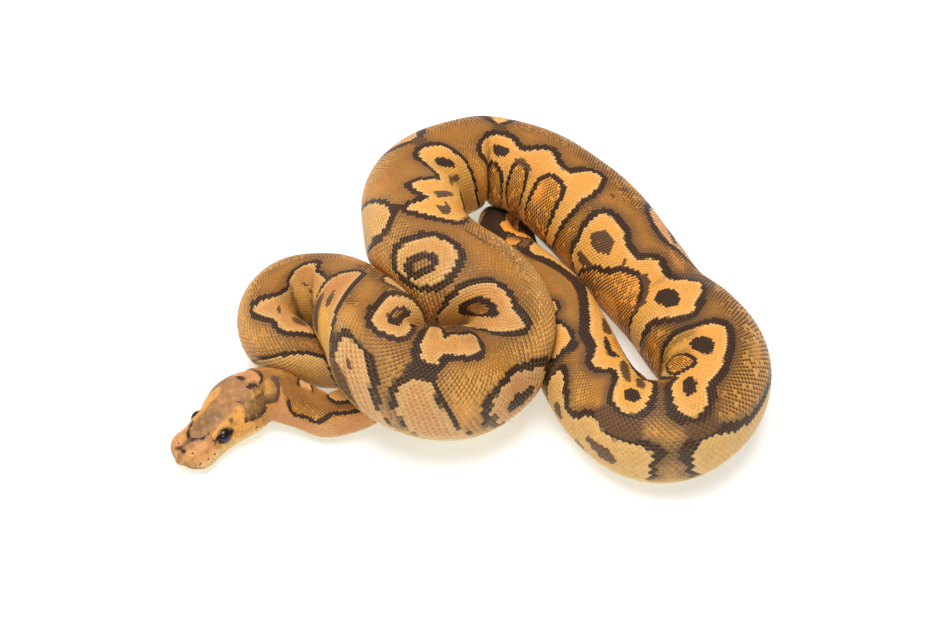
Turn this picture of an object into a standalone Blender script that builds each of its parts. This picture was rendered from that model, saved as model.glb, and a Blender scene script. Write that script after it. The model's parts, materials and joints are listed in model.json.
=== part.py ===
"""A ball python coiled on a floor, life size, as a still museum model.

The whole animal is one swept body. Its centre line is a chain of arcs seen from above, each with
the lift of the belly off the floor. Rings stand square to that line, sized by the girth along it.
Where two lengths of the body press on each other, or on the floor, the rings are flattened there.
The body is then parted with thin cuts into the lengths that a person would name.
"""

import bmesh
import bpy
import numpy as np

MM = 0.001  # the sizes below are in millimetres, and the model is in metres
MIDDLE = (0.75, 10.72)  # the middle of the coil, which becomes the model's origin

# Bends from the nape to the tip of the tail, seen from above: name, centre x and y, radius,
# angle from and to in degrees, and the belly's lift off the floor at both ends.
BENDS = (
    ("nape", -54.6, -33.5, 13.0, 140, 88, 0.9, 1.2),
    ("neck", -51.6, -39.9, 17.0, 80, 45, 1.2, 0.0),
    ("hidden hairpin", -34.4, -16.7, 8.4, -62, 105, 0, 0),
    ("left loop", -46.7, 2.5, 8.3, -86, -262, 0, 2.7),
    ("climb", -73.5, -29.1, 50.7, 46, 12, 4.5, 11.5),
    ("front of the coil", -10.0, -6.8, 19.0, -130, -60, 8.5, 1.2),
    ("right of the coil", -1.7, -9.6, 10.7, -50, 58, 1.2, 10.5),
    ("crossing", 17.0, 30.7, 32.9, -117, -160, 12.5, 12),
    ("upper left bend", 5.4, 37.2, 21.9, 177, 112, 6.5, 5),
    ("top arch", -0.2, 23.5, 37.9, 84, 50, 5.5, 3.5),
    ("long arch", -28.9, -10.5, 81.6, 43, 28, 2, 0),
    ("right of the loop", 48.2, -18.5, 19.3, 20, -50, 0, 0),
    ("foot of the loop", 51.0, -25.0, 13.0, -58, -145, 0, 0),
    ("rear length", 167.4, 33.8, 144.8, -155, -168, 0, 0),
    ("tail base", -74.4, -27.4, 105.3, 20, 31, 0, 0),
    ("tail hook", 12.2, 47.6, 4.7, -160, -345, 0, 0),
    ("tail end", 89.8, 78.4, 81.0, -155, -148, 0, 0),
)
SNOUT = (-78.2, -41.3)  # the tip of the snout, seen from above
STEP = 0.5  # spacing of the points that the centre line is worked out at
SMOOTHING = 2.6  # the bends run into each other over about this length
LIFT_SMOOTHING = 6.0  # and the lift changes over about this length

# Half width of the body, at distances from the snout.
GIRTH = (
    (28, 8.9), (33, 7.2), (40, 6.2), (50, 5.9), (66, 7.2), (82, 8.5), (100, 10.1), (108, 10.5),
    (119, 11.6), (140, 13.5), (162, 14.9), (188, 15.4), (220, 15.4), (240, 15.1), (262, 14.4),
    (278, 13.6), (292, 13.0), (306, 13.5), (330, 14.7), (352, 14.1), (366, 13.5), (377, 14.8),
    (390, 15.2), (411, 14.9), (423, 14.0), (434, 12.7), (446, 12.2), (462, 12.0), (476, 10.9),
    (490, 8.9), (505, 6.8), (518, 5.4), (526, 4.4), (535, 3.0), (541, 2.1), (546, 0.9),
)
# The head: half width, crown and chin heights at distances from the snout.
HEAD_END = 28.0
HEAD_CUT = 33.0  # the neck starts here, at its narrowest
NECK_BLEND = 6.0  # behind the head, the body's own sizes take over across this length
HEAD_WIDTH = (
    (0, 1.5), (0.5, 3.0), (1.3, 4.4), (2.8, 5.8), (5, 6.6), (9, 6.6), (14, 7.0), (19, 8.2),
    (23, 8.8), (28, 8.3), (33, 7.2),
)
CROWN = (
    (0, 4.0), (0.5, 5.0), (1.4, 6.1), (4, 7.7), (8, 9.0), (12, 10.2), (18, 11.6), (24, 12.9),
    (28, 13.4), (33, 12.9),
)
CHIN = (
    (0, 2.8), (0.5, 1.9), (1.3, 1.2), (3, 0.6), (7, 0.2), (12, 0.0), (24, 0.0), (28, 0.2),
    (33, 0.6),
)
ROUNDNESS = 2.2  # 2 is a round ring, and more is squarer
HEAD_TAPER = 0.2  # the crown is narrower and the jaw wider, by this share each way
# Swellings and hollows on both sides of the head: distance from the snout, angle from the
# crown in degrees, height, and reach along and around.
RELIEF = (
    ("brow", 12.6, 46, 0.6, 3.0, 12),
    ("snout ridge", 6.0, 45, 0.4, 3.0, 12),
    ("socket", 12.7, 74, -0.9, 2.8, 17),
    ("hollow before the eye", 8.0, 68, -0.4, 2.0, 14),
    ("muzzle", 3.5, 90, 0.3, 3.0, 30),
    ("cheek", 21.5, 85, 0.5, 4.0, 26),
    ("temple", 25.0, 55, 0.7, 5.0, 26),
    ("furrow of the crown", 20.0, 0, -0.4, 6.0, 12),
)
EYE_RADIUS = 2.05
EYE_DISTANCE = 12.7
EYE_ASIDE = 4.8  # from the middle of the head
EYE_HEIGHT = 6.6
MOUTH_HEIGHT = 3.1  # the line of the mouth above the floor
MOUTH_LENGTH = 22.5  # from the snout to the corner of the mouth
JAW_ROOM = (5.0, 15.0, 5.0)  # how far the jaw's cutter reaches before, beside and below the jaw
JAW_MARGIN = 1.0  # the head's cutter is larger than the jaw's by this on its outer sides

BELLY_PRESS = 0.05  # the floor flattens the belly by this share of the half width
GAP = 0.4  # between two lengths that lie against each other
CUT = 0.3  # the thin cut between one named length and the next
INSIDE_BEND = 0.93  # the inner side of a bend takes this share of the room that it has
INSIDE_ROUNDING = 0.2  # how softly that sets in, as a share of the half width
STRAIGHT_ROOM = 60.0  # the room of a ring where the body doesn't bend
BEND_STEPS = 66  # how many steps along the line count as the same bend
PRESS_ROUNDING = 1.2  # how softly a flattened place runs into the round of the body
LEAST_TOWARDS = 0.05  # a point that faces a neighbour less than this isn't pressed by it

# Named lengths of the body behind the head: where each ends, and its colour.
PARTS = (
    ("neck", 56, (0.42, 0.24, 0.12)),
    ("hidden_hairpin", 86, (0.45, 0.26, 0.12)),
    ("left_loop", 124, (0.50, 0.29, 0.12)),
    ("coil_front_left", 160, (0.55, 0.32, 0.13)),
    ("coil_front_right", 211, (0.52, 0.30, 0.12)),
    ("crossing_length", 248, (0.50, 0.29, 0.12)),
    ("upper_bend", 290, (0.52, 0.31, 0.12)),
    ("top_arch", 338, (0.55, 0.34, 0.13)),
    ("long_arch", 382, (0.55, 0.33, 0.12)),
    ("right_loop", 412, (0.50, 0.29, 0.12)),
    ("loop_foot", 440, (0.48, 0.28, 0.12)),
    ("rear_trunk", 500, (0.30, 0.18, 0.12)),
    ("tail", 546, (0.16, 0.10, 0.08)),
)
HEAD_COLOUR = (0.50, 0.28, 0.15)
JAW_COLOUR = (0.62, 0.45, 0.30)
EYE_COLOUR = (0.01, 0.01, 0.01)
BODY_SPACING = 4.0  # between the rings of the body
BODY_SIDES = 22
HEAD_RINGS = 24
HEAD_SIDES = 30
HEAD_CROWDING = 1.25  # the head's rings stand closer together towards the snout
EYE_COLUMNS, EYE_ROWS = 16, 10
SOCKET_COLUMNS, SOCKET_ROWS = 20, 12
SHARP = 1.0  # edges bent by more than this angle, in radians, are shaded as edges


def along(table, distance):
    """A smooth curve through a table's (distance, value) rows: a cubic from each row to the next,
    with the slope of its neighbours' chord at each row."""
    x, y = np.array([row[-2:] for row in table], float).T
    slope = np.gradient(y, x)
    i = np.clip(np.searchsorted(x, distance) - 1, 0, len(x) - 2)
    width = x[i + 1] - x[i]
    t = np.clip((distance - x[i]) / width, 0, 1)
    start = y[i] * (1 + 2 * t) * (1 - t) ** 2 + slope[i] * width * t * (1 - t) ** 2
    end = y[i + 1] * t**2 * (3 - 2 * t) - slope[i + 1] * width * t**2 * (1 - t)
    return start + end


def lengths(points):
    """How far each point lies along a line of points, seen from above."""
    steps = np.linalg.norm(np.diff(points[:, :2], axis=0), axis=1)
    return np.concatenate([[0], np.cumsum(steps)])


def respaced(points, step):
    """The same line, with points an even step apart."""
    s = lengths(points)
    even = np.linspace(0, s[-1], round(s[-1] / step) + 1)
    return np.stack([np.interp(even, s, column) for column in points.T], axis=1)


def smoothed(points, reach):
    """Each point replaced by the mean of its neighbours, weighted by a bell curve."""
    half = int(3 * reach / STEP)
    bell = np.exp(-0.5 * (np.arange(-half, half + 1) * STEP / reach) ** 2)
    ends = np.arange(half, 0, -1)
    before = 2 * points[0] - points[ends]
    after = 2 * points[-1] - points[-1 - ends[::-1]]
    padded = np.concatenate([before, points, after])
    columns = [np.convolve(column, bell / bell.sum(), "valid") for column in padded.T]
    return np.stack(columns, axis=1)


def centre_line():
    """Points along the body seen from above, from snout to tail, with the belly's lift."""
    rows = [np.array([[*SNOUT, 0.0]])]
    for _, x, y, radius, start, end, lift_start, lift_end in BENDS:
        angle = np.radians(np.linspace(start, end, 60))
        lift = np.linspace(lift_start, lift_end, 60)
        rows.append(np.stack([x + radius * np.cos(angle), y + radius * np.sin(angle), lift], 1))
    line = smoothed(respaced(np.concatenate(rows), STEP), SMOOTHING)
    line[:, 2:] = smoothed(line[:, 2:], LIFT_SMOOTHING)
    return line


def unit(vectors):
    return vectors / np.linalg.norm(vectors, axis=-1, keepdims=True)


def bend_room(points, left):
    """How far a ring may reach to its left and its right before it crosses the other rings of
    the same bend. They cross where a point is as near to another ring's centre as to its own."""
    room = np.full((len(points), 2), STRAIGHT_ROOM)
    index = np.arange(len(points))
    for step in range(-BEND_STEPS, BEND_STEPS + 1, 3):
        other = np.clip(index + step, 0, len(points) - 1)
        between = points[other] - points
        towards = np.einsum("nd,nd->n", between, left)
        limit = (between**2).sum(1) / np.maximum(2 * np.abs(towards), 1e-6)
        room[:, 0] = np.where(towards > 0, np.minimum(room[:, 0], limit), room[:, 0])
        room[:, 1] = np.where(towards < 0, np.minimum(room[:, 1], limit), room[:, 1])
    return smoothed(room, SMOOTHING / 2)


def spine():
    """What the rings need, in columns: distance, centre, direction to the animal's left,
    direction up, room to the left and to the right, half width and half height."""
    line = centre_line()
    s = lengths(line)
    head_height = (along(CROWN, s) - along(CHIN, s)) / 2
    blend = np.clip((s - HEAD_END) / NECK_BLEND, 0, 1)
    half = np.where(s < HEAD_END, along(HEAD_WIDTH, s), along(GIRTH, s))
    tall = head_height * (1 - blend) + along(GIRTH, s) * blend
    head_middle = along(CHIN, s) + head_height
    body_middle = line[:, 2] + tall * (1 - BELLY_PRESS)
    height = head_middle * (1 - blend) + body_middle * blend
    centre = np.column_stack([line[:, :2], height])
    tailward = unit(np.gradient(centre, s, axis=0))
    left = unit(np.cross(tailward, (0, 0, 1)))
    up = np.cross(left, tailward)
    room = bend_room(line[:, :2], unit(left[:, :2]))
    return np.column_stack([s, centre, left, up, room, half, tall])


def rows_at(distance, table):
    """The spine's columns at any distances from the snout."""
    found = np.stack([np.interp(distance, table[:, 0], column) for column in table.T], axis=1)
    found[:, 4:7] = unit(found[:, 4:7])
    found[:, 7:10] = unit(found[:, 7:10])
    return found


def softly_least(a, b, rounding):
    """The lesser of two values, rounded off where they are near each other, and never more."""
    near = np.maximum(rounding - np.abs(a - b), 0)
    return np.minimum(a, b) - near**2 / (4 * rounding)


def relief(distance, angle):
    """Height of the head's swellings and hollows. The angle is in degrees from the crown."""
    height = np.zeros(np.broadcast(distance, angle).shape)
    for _, where, around, rise, reach, spread in RELIEF:
        bell = ((distance - where) / reach) ** 2 + ((np.abs(angle) - around) / spread) ** 2
        height += rise * np.exp(-bell)
    return height


def outline(row, angle):
    """Offsets of a ring's points to the left and up, before anything presses on it. The angle
    runs from the crown to the left. A bend's inner side is drawn in, so that it can't fold."""
    head = np.clip((HEAD_END + NECK_BLEND / 2 - row[:, :1]) / NECK_BLEND, 0, 1)
    half, tall = row[:, 12:13], row[:, 13:14]
    across = np.sign(np.sin(angle)) * np.abs(np.sin(angle)) ** (2 / ROUNDNESS)
    over = np.sign(np.cos(angle)) * np.abs(np.cos(angle)) ** (2 / ROUNDNESS)
    room = np.where(across > 0, row[:, 10:11], row[:, 11:12])
    across = across * half * softly_least(1.0, INSIDE_BEND * room / half, INSIDE_ROUNDING)
    return across * (1 - HEAD_TAPER * head * over), over * tall, head


def pressed(row, direction, table, gap):
    """How far each ring point may go before it meets another length of the body. Each length is
    a row of balls, and two balls meet in the plane where their surfaces cross."""
    ball = table[:: round(2 / STEP)]
    ball_radius = (ball[:, 12] + ball[:, 13]) / 2
    radius = (row[:, 12] + row[:, 13]) / 2
    limit = np.full(direction.shape[:2], np.inf)
    for i in range(len(row)):
        apart = np.abs(ball[:, 0] - row[i, 0]) > radius[i] + ball_radius
        between = ball[apart, 1:4] - row[i, 1:4]
        far = np.linalg.norm(between, axis=1)
        plane = (far**2 + radius[i] ** 2 - ball_radius[apart] ** 2) / (2 * far) - gap / 2
        towards = direction[i] @ (between / far[:, None]).T
        limit[i] = np.where(
            towards > LEAST_TOWARDS, plane / np.maximum(towards, LEAST_TOWARDS), np.inf
        ).min(1)
    return limit


def rings(distance, sides, table, gap=GAP):
    """Ring points, one row for each distance, flattened where the body is pressed."""
    row = rows_at(distance, table)
    angle = np.linspace(0, 2 * np.pi, sides, endpoint=False)
    across, over, head = outline(row, angle)
    offset = across[..., None] * row[:, None, 4:7] + over[..., None] * row[:, None, 7:10]
    reach = np.linalg.norm(offset, axis=2)
    direction = offset / reach[..., None]
    from_crown = np.degrees((angle + np.pi) % (2 * np.pi) - np.pi)
    reach = reach + relief(row[:, :1], from_crown) * head
    reach = softly_least(reach, pressed(row, direction, table, gap), PRESS_ROUNDING)
    floor = row[:, 3:4] / np.maximum(-direction[..., 2], 1e-6)
    reach = np.minimum(reach, floor)
    return row[:, None, 1:4] + reach[..., None] * direction


def material(name, colour, roughness):
    made = bpy.data.materials.new(name)
    made.use_nodes = True
    shader = made.node_tree.nodes["Principled BSDF"]
    shader.inputs["Base Color"].default_value = (*colour, 1)
    shader.inputs["Roughness"].default_value = roughness
    shader.inputs["Metallic"].default_value = 0
    return made


def add_object(name, mesh, place=(0, 0, 0), colour=(0.5, 0.5, 0.5), roughness=0.45):
    made = bpy.data.objects.new(name, mesh)
    made.location = place
    made.data.materials.append(material(name, colour, roughness))
    bpy.context.scene.collection.objects.link(made)
    return made


def add_cutter(name, mesh, place=(0, 0, 0), turn=0.0):
    made = bpy.data.objects.new(name, mesh)
    made.location = place
    made.rotation_euler.z = turn
    made.hide_render = True
    made.display_type = "WIRE"
    bpy.context.scene.collection.objects.link(made)
    return made


def cut(target, cutter, operation):
    made = target.modifiers.new(cutter.name, "BOOLEAN")
    made.operation = operation
    made.solver = "EXACT"
    made.object = cutter


def finished(name, work):
    """The work's faces as a mesh, shaded smooth except across sharp edges."""
    mesh = bpy.data.meshes.new(name)
    work.to_mesh(mesh)
    work.free()
    mesh.shade_smooth()
    mesh.set_sharp_from_angle(angle=SHARP)
    return mesh


def tube_mesh(name, points, place):
    """A closed mesh through rings of points in millimetres, with a face across each end."""
    count, sides = points.shape[:2]
    work = bmesh.new()
    corners = [work.verts.new(point * MM - place) for point in points.reshape(-1, 3)]
    for i in range(count - 1):
        for j in range(sides):
            k = (j + 1) % sides
            ring, after = i * sides, (i + 1) * sides
            quad = (ring + j, ring + k, after + k, after + j)
            work.faces.new([corners[n] for n in quad])
    work.faces.new(corners[:sides])
    work.faces.new(corners[: -sides - 1 : -1])
    bmesh.ops.recalc_face_normals(work, faces=work.faces)
    bmesh.ops.triangulate(work, faces=work.faces)
    return finished(name, work)


def centred(points):
    """The same points, with the middle of the coil over the origin."""
    return points - (*MIDDLE, 0)


def add_lengths(table):
    """Each named length behind the head, with half of the thin cut off each end."""
    start = HEAD_CUT
    for name, end, colour in PARTS:
        count = round((end - start) / BODY_SPACING) + 1
        distance = np.linspace(start + CUT / 2, end - CUT / 2, count)
        points = centred(rings(distance, BODY_SIDES, table))
        place = points.reshape(-1, 3).mean(0) * MM
        add_object(name, tube_mesh(name, points, place), place, colour)
        start = end


def head_spot(table, distance, aside, height):
    """A place on the head, in metres, and the way that the head points back, as an angle."""
    row = rows_at(np.array([distance]), table)[0]
    spot = np.array([*(row[1:3] + aside * row[4:6]), height])
    return centred(spot) * MM, np.arctan2(row[4], -row[5])


def box_mesh(name, low, high):
    work = bmesh.new()
    bmesh.ops.create_cube(work, size=1)
    size = np.subtract(high, low)
    middle = np.add(high, low) / 2
    for corner in work.verts:
        corner.co = (np.array(corner.co) * size + middle) * MM
    return finished(name, work)


def ball_mesh(name, radius, columns, rows):
    work = bmesh.new()
    bmesh.ops.create_uvsphere(work, u_segments=columns, v_segments=rows, radius=radius * MM)
    return finished(name, work)


def add_head(table):
    """The head and the lower jaw, parted by the line of the mouth, and the eyes in sockets."""
    share = np.linspace(0, 1, HEAD_RINGS) ** HEAD_CROWDING
    points = centred(rings(share * (HEAD_CUT - CUT / 2), HEAD_SIDES, table))
    place = points.reshape(-1, 3).mean(0) * MM
    head = add_object("head", tube_mesh("head", points, place), place, HEAD_COLOUR)
    jaw = add_object("lower_jaw", head.data.copy(), place, JAW_COLOUR)
    jaw.data.materials.clear()
    jaw.data.materials.append(material("lower_jaw", JAW_COLOUR, 0.45))
    tip, heading = head_spot(table, 0.0, 0.0, 0.0)
    before, beside, under = JAW_ROOM
    corner = (MOUTH_LENGTH - CUT, beside, MOUTH_HEIGHT - CUT)
    below = box_mesh("jaw_shape", (-before, -beside, -under), corner)
    low = (-before - JAW_MARGIN, -beside - JAW_MARGIN, -under - JAW_MARGIN)
    space = box_mesh("jaw_space", low, (MOUTH_LENGTH, beside + JAW_MARGIN, MOUTH_HEIGHT))
    cut(jaw, add_cutter("jaw_shape", below, tip, heading), "INTERSECT")
    cut(head, add_cutter("jaw_space", space, tip, heading), "DIFFERENCE")
    for side, name in ((1, "left"), (-1, "right")):
        spot, _ = head_spot(table, EYE_DISTANCE, side * EYE_ASIDE, EYE_HEIGHT)
        socket = ball_mesh("socket_" + name, EYE_RADIUS + CUT, SOCKET_COLUMNS, SOCKET_ROWS)
        cut(head, add_cutter("socket_" + name, socket, spot), "DIFFERENCE")
        eye = ball_mesh("eye_" + name, EYE_RADIUS, EYE_COLUMNS, EYE_ROWS)
        add_object("eye_" + name, eye, spot, EYE_COLOUR, 0.08)


def main():
    for old in list(bpy.data.objects):
        bpy.data.objects.remove(old, do_unlink=True)
    table = spine()
    add_head(table)
    add_lengths(table)


main()
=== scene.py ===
# %% [markdown]
# # A coiled ball python, dressed
# The imported model holds the animal's solid lengths: head, jaw, neck, trunk, tail and eyes. This
# script dresses them with one skin, about forty thousand small scales and two wet, dark eyes.
# It starts by loading those solids as a fixed frame.

import json

import bmesh
import bpy
import numpy as np
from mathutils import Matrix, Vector

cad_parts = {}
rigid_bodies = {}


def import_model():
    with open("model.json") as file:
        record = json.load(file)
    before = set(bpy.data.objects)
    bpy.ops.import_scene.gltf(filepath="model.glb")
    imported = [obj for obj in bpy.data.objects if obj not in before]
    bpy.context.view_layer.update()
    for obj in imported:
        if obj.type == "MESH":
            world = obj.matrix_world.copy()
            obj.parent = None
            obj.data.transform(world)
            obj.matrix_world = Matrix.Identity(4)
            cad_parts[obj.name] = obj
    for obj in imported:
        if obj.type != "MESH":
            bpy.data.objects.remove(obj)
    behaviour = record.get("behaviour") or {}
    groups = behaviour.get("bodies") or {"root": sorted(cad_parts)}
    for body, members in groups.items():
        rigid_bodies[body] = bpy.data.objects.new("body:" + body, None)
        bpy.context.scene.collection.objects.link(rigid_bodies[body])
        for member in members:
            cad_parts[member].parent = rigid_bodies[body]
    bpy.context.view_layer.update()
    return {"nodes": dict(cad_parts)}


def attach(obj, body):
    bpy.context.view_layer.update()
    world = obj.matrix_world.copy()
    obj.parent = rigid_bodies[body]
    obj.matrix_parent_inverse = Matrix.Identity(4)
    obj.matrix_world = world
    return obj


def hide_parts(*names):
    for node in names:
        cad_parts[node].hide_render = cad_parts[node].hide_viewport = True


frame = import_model()

# %% [markdown]
# ## The body as one swept shape
# A snake is a tube that bends. Its shape is a function of two numbers: the distance from the
# snout along the body, and the angle around it, which is 0 on the crown of the back, positive to
# the animal's left and 180 under the belly. A curve object with a bevel could draw such a tube, but
# it can't be pressed flat or swell to a head, so here the rings are worked out one by one. The tables
# are the same as those of the solids, in millimetres, so the skin lies exactly where they are.

# %% The bends of the coil
MM = 0.001
MIDDLE = (0.75, 10.72)  # the middle of the coil, seen from above
# Bends from the nape to the tail: name, centre x and y, radius, angle from and to, lift from and to.
BENDS = (
    ("nape", -54.6, -33.5, 13.0, 140, 88, 0.9, 1.2),
    ("neck", -51.6, -39.9, 17.0, 80, 45, 1.2, 0.0),
    ("hidden hairpin", -34.4, -16.7, 8.4, -62, 105, 0, 0),
    ("left loop", -46.7, 2.5, 8.3, -86, -262, 0, 2.7),
    ("climb", -73.5, -29.1, 50.7, 46, 12, 4.5, 11.5),
    ("front of the coil", -10.0, -6.8, 19.0, -130, -60, 8.5, 1.2),
    ("right of the coil", -1.7, -9.6, 10.7, -50, 58, 1.2, 10.5),
    ("crossing", 17.0, 30.7, 32.9, -117, -160, 12.5, 12),
    ("upper left bend", 5.4, 37.2, 21.9, 177, 112, 6.5, 5),
    ("top arch", -0.2, 23.5, 37.9, 84, 50, 5.5, 3.5),
    ("long arch", -28.9, -10.5, 81.6, 43, 28, 2, 0),
    ("right of the loop", 48.2, -18.5, 19.3, 20, -50, 0, 0),
    ("foot of the loop", 51.0, -25.0, 13.0, -58, -145, 0, 0),
    ("rear length", 167.4, 33.8, 144.8, -155, -168, 0, 0),
    ("tail base", -74.4, -27.4, 105.3, 20, 31, 0, 0),
    ("tail hook", 12.2, 47.6, 4.7, -160, -345, 0, 0),
    ("tail end", 89.8, 78.4, 81.0, -155, -148, 0, 0),
)
SNOUT = (-78.2, -41.3)
ARC_POINTS = 60
STEP = 0.5
SMOOTHING = 2.6
LIFT_SMOOTHING = 6.0
print(len(BENDS), "bends from the nape to the tail")

# %% The girth along the body
# Half width of the body at distances from the snout.
GIRTH = (
    (28, 8.9), (33, 7.2), (40, 6.2), (50, 5.9), (66, 7.2), (82, 8.5), (100, 10.1), (108, 10.5),
    (119, 11.6), (140, 13.5), (162, 14.9), (188, 15.4), (220, 15.4), (240, 15.1), (262, 14.4),
    (278, 13.6), (292, 13.0), (306, 13.5), (330, 14.7), (352, 14.1), (366, 13.5), (377, 14.8),
    (390, 15.2), (411, 14.9), (423, 14.0), (434, 12.7), (446, 12.2), (462, 12.0), (476, 10.9),
    (490, 8.9), (505, 6.8), (518, 5.4), (526, 4.4), (535, 3.0), (541, 2.1), (546, 0.9),
)
print("girth given at", len(GIRTH), "places")

# %% The head's profile
HEAD_END = 28.0
NECK_BLEND = 6.0
HEAD_WIDTH = (
    (0, 1.5), (0.5, 3.0), (1.3, 4.4), (2.8, 5.8), (5, 6.6), (9, 6.6), (14, 7.0), (19, 8.2),
    (23, 8.8), (28, 8.3), (33, 7.2),
)
CROWN = (
    (0, 4.0), (0.5, 5.0), (1.4, 6.1), (4, 7.7), (8, 9.0), (12, 10.2), (18, 11.6), (24, 12.9),
    (28, 13.4), (33, 12.9),
)
CHIN = (
    (0, 2.8), (0.5, 1.9), (1.3, 1.2), (3, 0.6), (7, 0.2), (12, 0.0), (24, 0.0), (28, 0.2),
    (33, 0.6),
)
ROUNDNESS = 2.2
HEAD_TAPER = 0.2
# Swellings and hollows of the head: name, distance, angle, height, reach and spread.
RELIEF = (
    ("brow", 12.6, 46, 0.6, 3.0, 12),
    ("snout ridge", 6.0, 45, 0.4, 3.0, 12),
    ("socket", 12.7, 74, -0.9, 2.8, 17),
    ("hollow before the eye", 8.0, 68, -0.4, 2.0, 14),
    ("muzzle", 3.5, 90, 0.3, 3.0, 30),
    ("cheek", 21.5, 85, 0.5, 4.0, 26),
    ("temple", 25.0, 55, 0.7, 5.0, 26),
    ("furrow of the crown", 20.0, 0, -0.4, 6.0, 12),
)
print(len(RELIEF), "swellings and hollows of the head")

# %% How lengths press on the floor and on each other
BELLY_PRESS = 0.05  # how much of the half height is pressed flat on the floor
GAP = 0.4  # between two lengths that touch
INSIDE_BEND = 0.93  # the most of the room inside a bend that a ring takes
BEND_ROUNDING = 0.2
STRAIGHT_ROOM = 60.0
BEND_STEPS = 66
BALL_SPACING = 2.0
PRESS_ROUNDING = 1.2
MID_BODY = 205.0


print("lengths that touch keep", GAP, "mm apart")

# %% [markdown]
# The tables hold few rows, and a smooth curve runs through them. The bends are arcs laid end to end.
# Their joins would show as kinks, so each point is then averaged with its neighbours.


# %% A smooth curve through a table
def along(table, distance):
    """A smooth curve through (distance, value) rows: a cubic from each row to the next, with the
    slope of its neighbours' chord at each row."""
    x, y = np.array([row[-2:] for row in table], float).T
    slope = np.gradient(y, x)
    i = np.clip(np.searchsorted(x, distance) - 1, 0, len(x) - 2)
    width = x[i + 1] - x[i]
    t = np.clip((distance - x[i]) / width, 0, 1)
    start = y[i] * (1 + 2 * t) * (1 - t) ** 2 + slope[i] * width * t * (1 - t) ** 2
    end = y[i + 1] * t**2 * (3 - 2 * t) - slope[i + 1] * width * t**2 * (1 - t)
    return start + end


print("half width at mid body:", along(GIRTH, np.array([MID_BODY]))[0].round(2), "mm")


# %% The centre line
def lengths(points):
    """How far each point lies along a line: the running sum of the steps seen from above."""
    steps = np.linalg.norm(np.diff(points[:, :2], axis=0), axis=1)
    return np.concatenate([[0], np.cumsum(steps)])


def smoothed(points, reach):
    """Each point replaced by the mean of its neighbours, weighted by a bell of that reach."""
    half = int(3 * reach / STEP)
    bell = np.exp(-0.5 * (np.arange(-half, half + 1) * STEP / reach) ** 2)
    ends = np.arange(half, 0, -1)
    before = 2 * points[0] - points[ends]
    after = 2 * points[-1] - points[-1 - ends[::-1]]
    padded = np.concatenate([before, points, after])
    columns = [np.convolve(column, bell / bell.sum(), "valid") for column in padded.T]
    return np.stack(columns, axis=1)


def centre_line():
    """The arcs end to end, with points an even step apart, smoothed so that they run together."""
    rows = [np.array([[*SNOUT, 0.0]])]
    for _, x, y, radius, start, end, lift_start, lift_end in BENDS:
        angle = np.radians(np.linspace(start, end, ARC_POINTS))
        lift = np.linspace(lift_start, lift_end, ARC_POINTS)
        rows.append(np.stack([x + radius * np.cos(angle), y + radius * np.sin(angle), lift], 1))
    line = np.concatenate(rows)
    s = lengths(line)
    even = np.linspace(0, s[-1], round(s[-1] / STEP) + 1)
    line = smoothed(np.stack([np.interp(even, s, column) for column in line.T], 1), SMOOTHING)
    line[:, 2:] = smoothed(line[:, 2:], LIFT_SMOOTHING)
    return line


print("centre line of", len(centre_line()), "points")


# %% The spine: its directions and its room inside bends
def unit(vectors):
    """Each vector over its length."""
    return vectors / np.linalg.norm(vectors, axis=-1, keepdims=True)


def bend_room(points, left):
    """How far a ring may reach to each side before it crosses the other rings of its bend: half
    the square of the way to another centre, over how far that way leads to the side."""
    room = np.full((len(points), 2), STRAIGHT_ROOM)
    index = np.arange(len(points))
    for step in range(-BEND_STEPS, BEND_STEPS + 1, 3):
        other = np.clip(index + step, 0, len(points) - 1)
        between = points[other] - points
        towards = np.einsum("nd,nd->n", between, left)
        limit = (between**2).sum(1) / np.maximum(2 * np.abs(towards), 1e-6)
        room[:, 0] = np.where(towards > 0, np.minimum(room[:, 0], limit), room[:, 0])
        room[:, 1] = np.where(towards < 0, np.minimum(room[:, 1], limit), room[:, 1])
    return smoothed(room, SMOOTHING / 2)


def spine():
    """Columns for the rings: distance, centre, left, up, room to both sides, half width, height."""
    line = centre_line()
    s = lengths(line)
    head_height = (along(CROWN, s) - along(CHIN, s)) / 2
    blend = np.clip((s - HEAD_END) / NECK_BLEND, 0, 1)
    half = np.where(s < HEAD_END, along(HEAD_WIDTH, s), along(GIRTH, s))
    tall = head_height * (1 - blend) + along(GIRTH, s) * blend
    head_middle = along(CHIN, s) + head_height
    body_middle = line[:, 2] + tall * (1 - BELLY_PRESS)
    height = head_middle * (1 - blend) + body_middle * blend
    centre = np.column_stack([line[:, :2], height])
    tailward = unit(np.gradient(centre, s, axis=0))
    left = unit(np.cross(tailward, (0, 0, 1)))
    up = np.cross(left, tailward)
    room = bend_room(line[:, :2], unit(left[:, :2]))
    return np.column_stack([s, centre, left, up, room, half, tall])


SPINE = spine()
LENGTH = SPINE[-1, 0]
print("body length", round(LENGTH, 1), "mm on", len(SPINE), "points")

# %% [markdown]
# ## The rings
# Each ring starts as a slightly squared oval. It is drawn in on the inner side of a bend, it
# swells and dips by the head's relief, and it goes flat where it meets the floor or another
# length of the body. Cutting finished tubes from each other would do that too, but it would leave
# sharp edges. Many rings make one grid, and every later piece is looked up on that grid.


# %% Rings of the body
def rows_at(distance):
    """The spine's columns at any distances, with the two directions made length one again."""
    found = np.stack([np.interp(distance, SPINE[:, 0], column) for column in SPINE.T], axis=1)
    found[:, 4:7] = unit(found[:, 4:7])
    found[:, 7:10] = unit(found[:, 7:10])
    return found


def softly_least(a, b, rounding):
    """The lesser of two values, less a parabola where they are within the rounding."""
    near = np.maximum(rounding - np.abs(a - b), 0)
    return np.minimum(a, b) - near**2 / (4 * rounding)


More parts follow.
